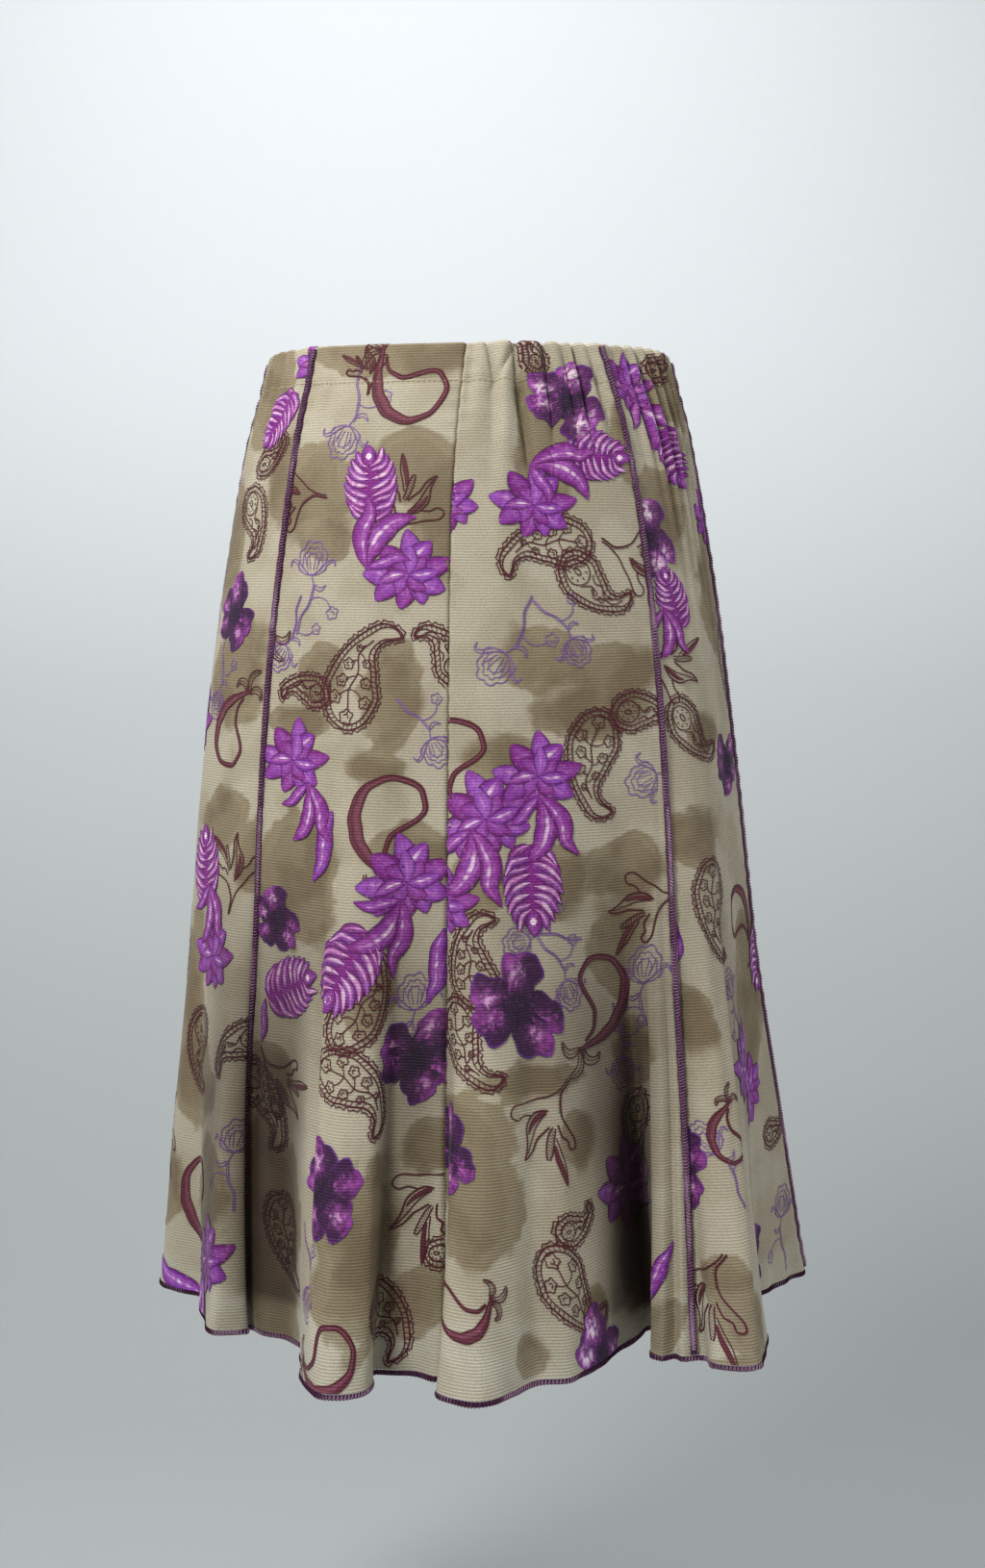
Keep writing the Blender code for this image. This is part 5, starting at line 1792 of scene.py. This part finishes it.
def core_values(arc, sides):
    """Strand values of what lies under the yarns: straight, and dark as the row's edges."""
    return strand_values(arc, 1.0, sides, turn=0.0)


def stitches(table, count, pitch, start=0.0):
    """A stitch repeated along an edge: each point's two places in it, and how far along it lies."""
    first, second, share = np.array(table).T
    arc = ((np.arange(count)[:, None] + share) * pitch + start).ravel()
    return np.tile(first, count), np.tile(second, count), arc


def leaning(across, turn):
    """How far a point of a seam's row stands off the cloth, from its place across the row."""
    return SEAM_LEAN * (1 + turn * across) / 2


def low_ridge(edge, arc, turn):
    """The mat of thread and cloth edges under the stitches: a low wedge with a rounded top."""
    rise, sink = RIDGE["rise"], RIDGE["sink"]
    profile = [(-1.0, -sink), (-0.75, rise * 0.6), (0.0, rise), (0.75, rise * 0.6), (1.0, 0.0)]
    profile = [(turn * a, b + leaning(a, 1)) for a, b in profile] + [(turn * 0.6, -sink)]
    points, outward, aside = edge.at(arc)
    strips = [points + aside * SEAM_HALF * a + outward * b for a, b in profile[::turn]]
    grid = np.stack(strips, axis=1)
    return (grid.reshape(-1, 3), quad_grid(*grid.shape[:2])), core_values(arc, len(profile))


def make_seam_overlock(surface, seam, material):
    """Overlocked seam: yarns that zigzag over a ridge that leans towards the wearer's side."""
    name = "overlock_" + SEAMS[seam][0]
    turn = 1 if seam < len(SEAMS) / 2 else -1
    rows = slice(surface.casing_end, surface.wall_end)
    column = seam * CELLS_PER_GORE
    outward = surface.normals[rows, column]
    points = surface.grid[rows, column] + outward * CLOTH / 2
    edge = Edge(points, outward, unit(np.cross(np.gradient(points, axis=0), outward)))
    count = int(edge.arc[-1] / SEAM_PITCH) - 1
    across, rise, arc = stitches(SEAM_STITCH, count, SEAM_PITCH, SEAM_START)
    wobble = 1 + 0.10 * np.sin(arc / (7.3 * MM)) + 0.06 * np.sin(arc / (2.9 * MM))
    at, up, side = edge.at(arc)
    rise = rise * MM + SEAM_LIFT + leaning(across, turn)
    centre = at + side * (across * SEAM_HALF * wobble)[:, None] + up * rise[:, None]
    ridge_arc = np.arange(RIDGE["end"], edge.arc[-1] - RIDGE["end"], RIDGE["step"])
    ridge, ridge_values = low_ridge(edge, ridge_arc, turn)
    strands = (ridge_values, strand_values(arc, np.abs(across)))
    thread_piece(name, (ridge, tube(centre, up, THREAD)), strands, material, name)


def make_hem_overlock(surface, material):
    """Narrow overlocked hem: yarns wrapped over the cloth's edge all round."""
    top, low = surface.grid[-2], surface.grid[-1]
    edge = Edge(top, surface.normals[-2], unit(low - top), closed=True)
    count = int(edge.arc[-1] / HEM_PITCH)
    drop, out, arc = stitches(HEM_STITCH, count, edge.arc[-1] / count)
    wobble = 1 + 0.10 * np.sin(arc / (8.1 * MM)) + 0.05 * np.sin(arc / (3.1 * MM))
    at, up, side = edge.at(arc)
    centre = (at + side * (drop * wobble * HEM_SHARE[0] * MM)[:, None]
              + up * (out * HEM_SHARE[1] * MM)[:, None])
    wraps = tube(centre, up, THREAD, closed=True)
    core_arc = np.linspace(0, edge.arc[-1], HEM_CORE_ROWS, endpoint=False)
    at, up, side = edge.at(core_arc)
    grid = np.stack([at + side * d * MM + up * o * MM for d, o in HEM_CORE], axis=1)
    core = (grid.reshape(-1, 3), quad_grid(*grid.shape[:2], closed=True, looped=True))
    strands = (core_values(core_arc, len(HEM_CORE)), strand_values(arc, 0.85))
    thread_piece("overlock_hem", (core, wraps), strands, material, "overlock_hem")


def make_casing_stitches(surface, material):
    """A row of cream stitches that holds the casing down, all round."""
    row = surface.casing_end + int(np.argmin(np.abs(surface.depths - CASING)))
    outward = surface.normals[row]
    edge = Edge(surface.grid[row] + outward * CLOTH / 2, outward, closed=True)
    count = int(edge.arc[-1] / (STITCH["length"] + STITCH["gap"]))
    pitch = edge.arc[-1] / count
    share, rise = np.array(STITCH_ARCH).T
    parts, strands = [], []
    for i in range(count):
        arc = i * pitch + share * STITCH["length"]
        at, up = edge.at(arc)
        drop = 0.12 * MM * math.sin(5.1 * i)
        centre = at + up * (rise * MM)[:, None] - np.array((0, 0, drop))
        parts.append(tube(centre, up, STITCH["radius"]))
        strands.append(strand_values(arc, 0.3))
    thread_piece("casing_stitches", parts, strands, material)


# ---------------------------------------------------------------- studio

CAMERA = {"place": (-0.0167, 1.25, -0.281), "lens": 41.41, "sensor": 36.0}
FLOOR_LEVEL = -1.02
WALL_PLACE = -1.7                 # y of the backdrop's wall
STAGE_HALF_WIDTH = 3.2
STAGE_FRONT, STAGE_TOP = 2.6, 2.6
STAGE_ROUND = 0.9                 # radius between floor and wall
LIGHTS = (
    # name, place, aim, size, watts, colour
    ("key", (0.70, 1.10, 0.90), (0.0, 0.0, -0.15), 0.5, 29, (1.0, 0.99, 0.97)),
    ("left", (1.9, 0.35, 0.6), (0.0, 0.0, -0.35), 1.2, 13, (0.98, 0.99, 1.0)),
    ("right", (-1.7, 0.60, 0.2), (0.0, 0.0, -0.40), 1.0, 13, (0.98, 0.99, 1.0)),
    ("top", (0.0, 0.2, 1.8), (0.0, 0.0, -0.3), 1.6, 24, (1.0, 1.0, 1.0)),
    ("wall", (0.3, -0.35, 1.9), (0.0, -1.7, 0.5), 1.0, 15, (1.0, 1.0, 1.0)),
)
WORLD = {"colour": srgb(228, 231, 234), "strength": 0.23}


def make_stage(material):
    """Floor and wall in one sheet of paper, with a round foot between them."""
    profile = [(STAGE_FRONT, FLOOR_LEVEL)]
    for angle in np.linspace(0, math.pi / 2, 25):
        y = WALL_PLACE + STAGE_ROUND - STAGE_ROUND * math.sin(angle)
        profile.append((y, FLOOR_LEVEL + STAGE_ROUND - STAGE_ROUND * math.cos(angle)))
    profile.append((WALL_PLACE, STAGE_TOP))
    xs = np.linspace(-STAGE_HALF_WIDTH, STAGE_HALF_WIDTH, 9)
    grid = np.array([[(x, y, z) for x in xs] for y, z in profile])
    piece = make_mesh("backdrop", grid, quad_grid(len(profile), len(xs)), material)


def make_light(name, place, aim, size, watts, colour):
    """A round soft light that points at its aim."""
    light = bpy.data.lights.new(name, "AREA")
    light.shape = "DISK"
    light.size = size
    light.energy = watts
    light.color = colour
    lamp = bpy.data.objects.new(name, light)
    lamp.location = place
    lamp.rotation_euler = (Vector(aim) - Vector(place)).to_track_quat("-Z", "Y").to_euler()
    bpy.context.scene.collection.objects.link(lamp)


def make_camera():
    """The photograph's view: level, behind the wearer."""
    data = bpy.data.cameras.new("camera")
    data.sensor_fit = "VERTICAL"
    data.sensor_height = CAMERA["sensor"]
    data.lens = CAMERA["lens"]
    camera = bpy.data.objects.new("camera", data)
    camera.location = CAMERA["place"]
    camera.rotation_euler = (math.radians(90), 0.0, math.radians(180))
    bpy.context.scene.collection.objects.link(camera)
    bpy.context.scene.camera = camera


def make_world():
    """Even pale light from all round."""
    world = bpy.data.worlds.new("studio")
    world.use_nodes = True
    background = world.node_tree.nodes["Background"]
    background.inputs["Color"].default_value = WORLD["colour"]
    background.inputs["Strength"].default_value = WORLD["strength"]
    bpy.context.scene.world = world


# ---------------------------------------------------------------- the scene

def build():
    """Everything in the scene, the skirt last."""
    make_camera()
    make_world()
    for row in LIGHTS:
        make_light(*row)
    make_stage(backdrop_paper())
    bpy.context.scene.view_settings.view_transform = "Standard"

    knit, ink, lining = printed_knit(), printed_ink(), lining_knit()
    plum = thread_material(
        "overlock_thread", srgb(54, 12, 44), srgb(104, 46, 94), srgb(212, 178, 206)
    )
    cream = thread_material(
        "cream_thread", srgb(150, 138, 104), srgb(196, 184, 150), srgb(214, 204, 176)
    )
    surface = Surface()
    for gore, name in enumerate(GORES):
        piece = make_gore(surface, gore, name, knit)
        make_print(surface, gore, name, ink)
    quarter = math.pi / 2
    make_lining("lining_back", -quarter, quarter, lining)
    make_lining("lining_front", quarter, 3 * quarter, lining)
    for seam in range(len(SEAMS)):
        if seam not in PLAIN_SEAMS:
            make_seam_overlock(surface, seam, plum)
    make_hem_overlock(surface, plum)
    make_casing_stitches(surface, cream)
    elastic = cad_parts["waist_elastic"]
    for slot in elastic.material_slots:
        slot.material = woven_elastic()


build()
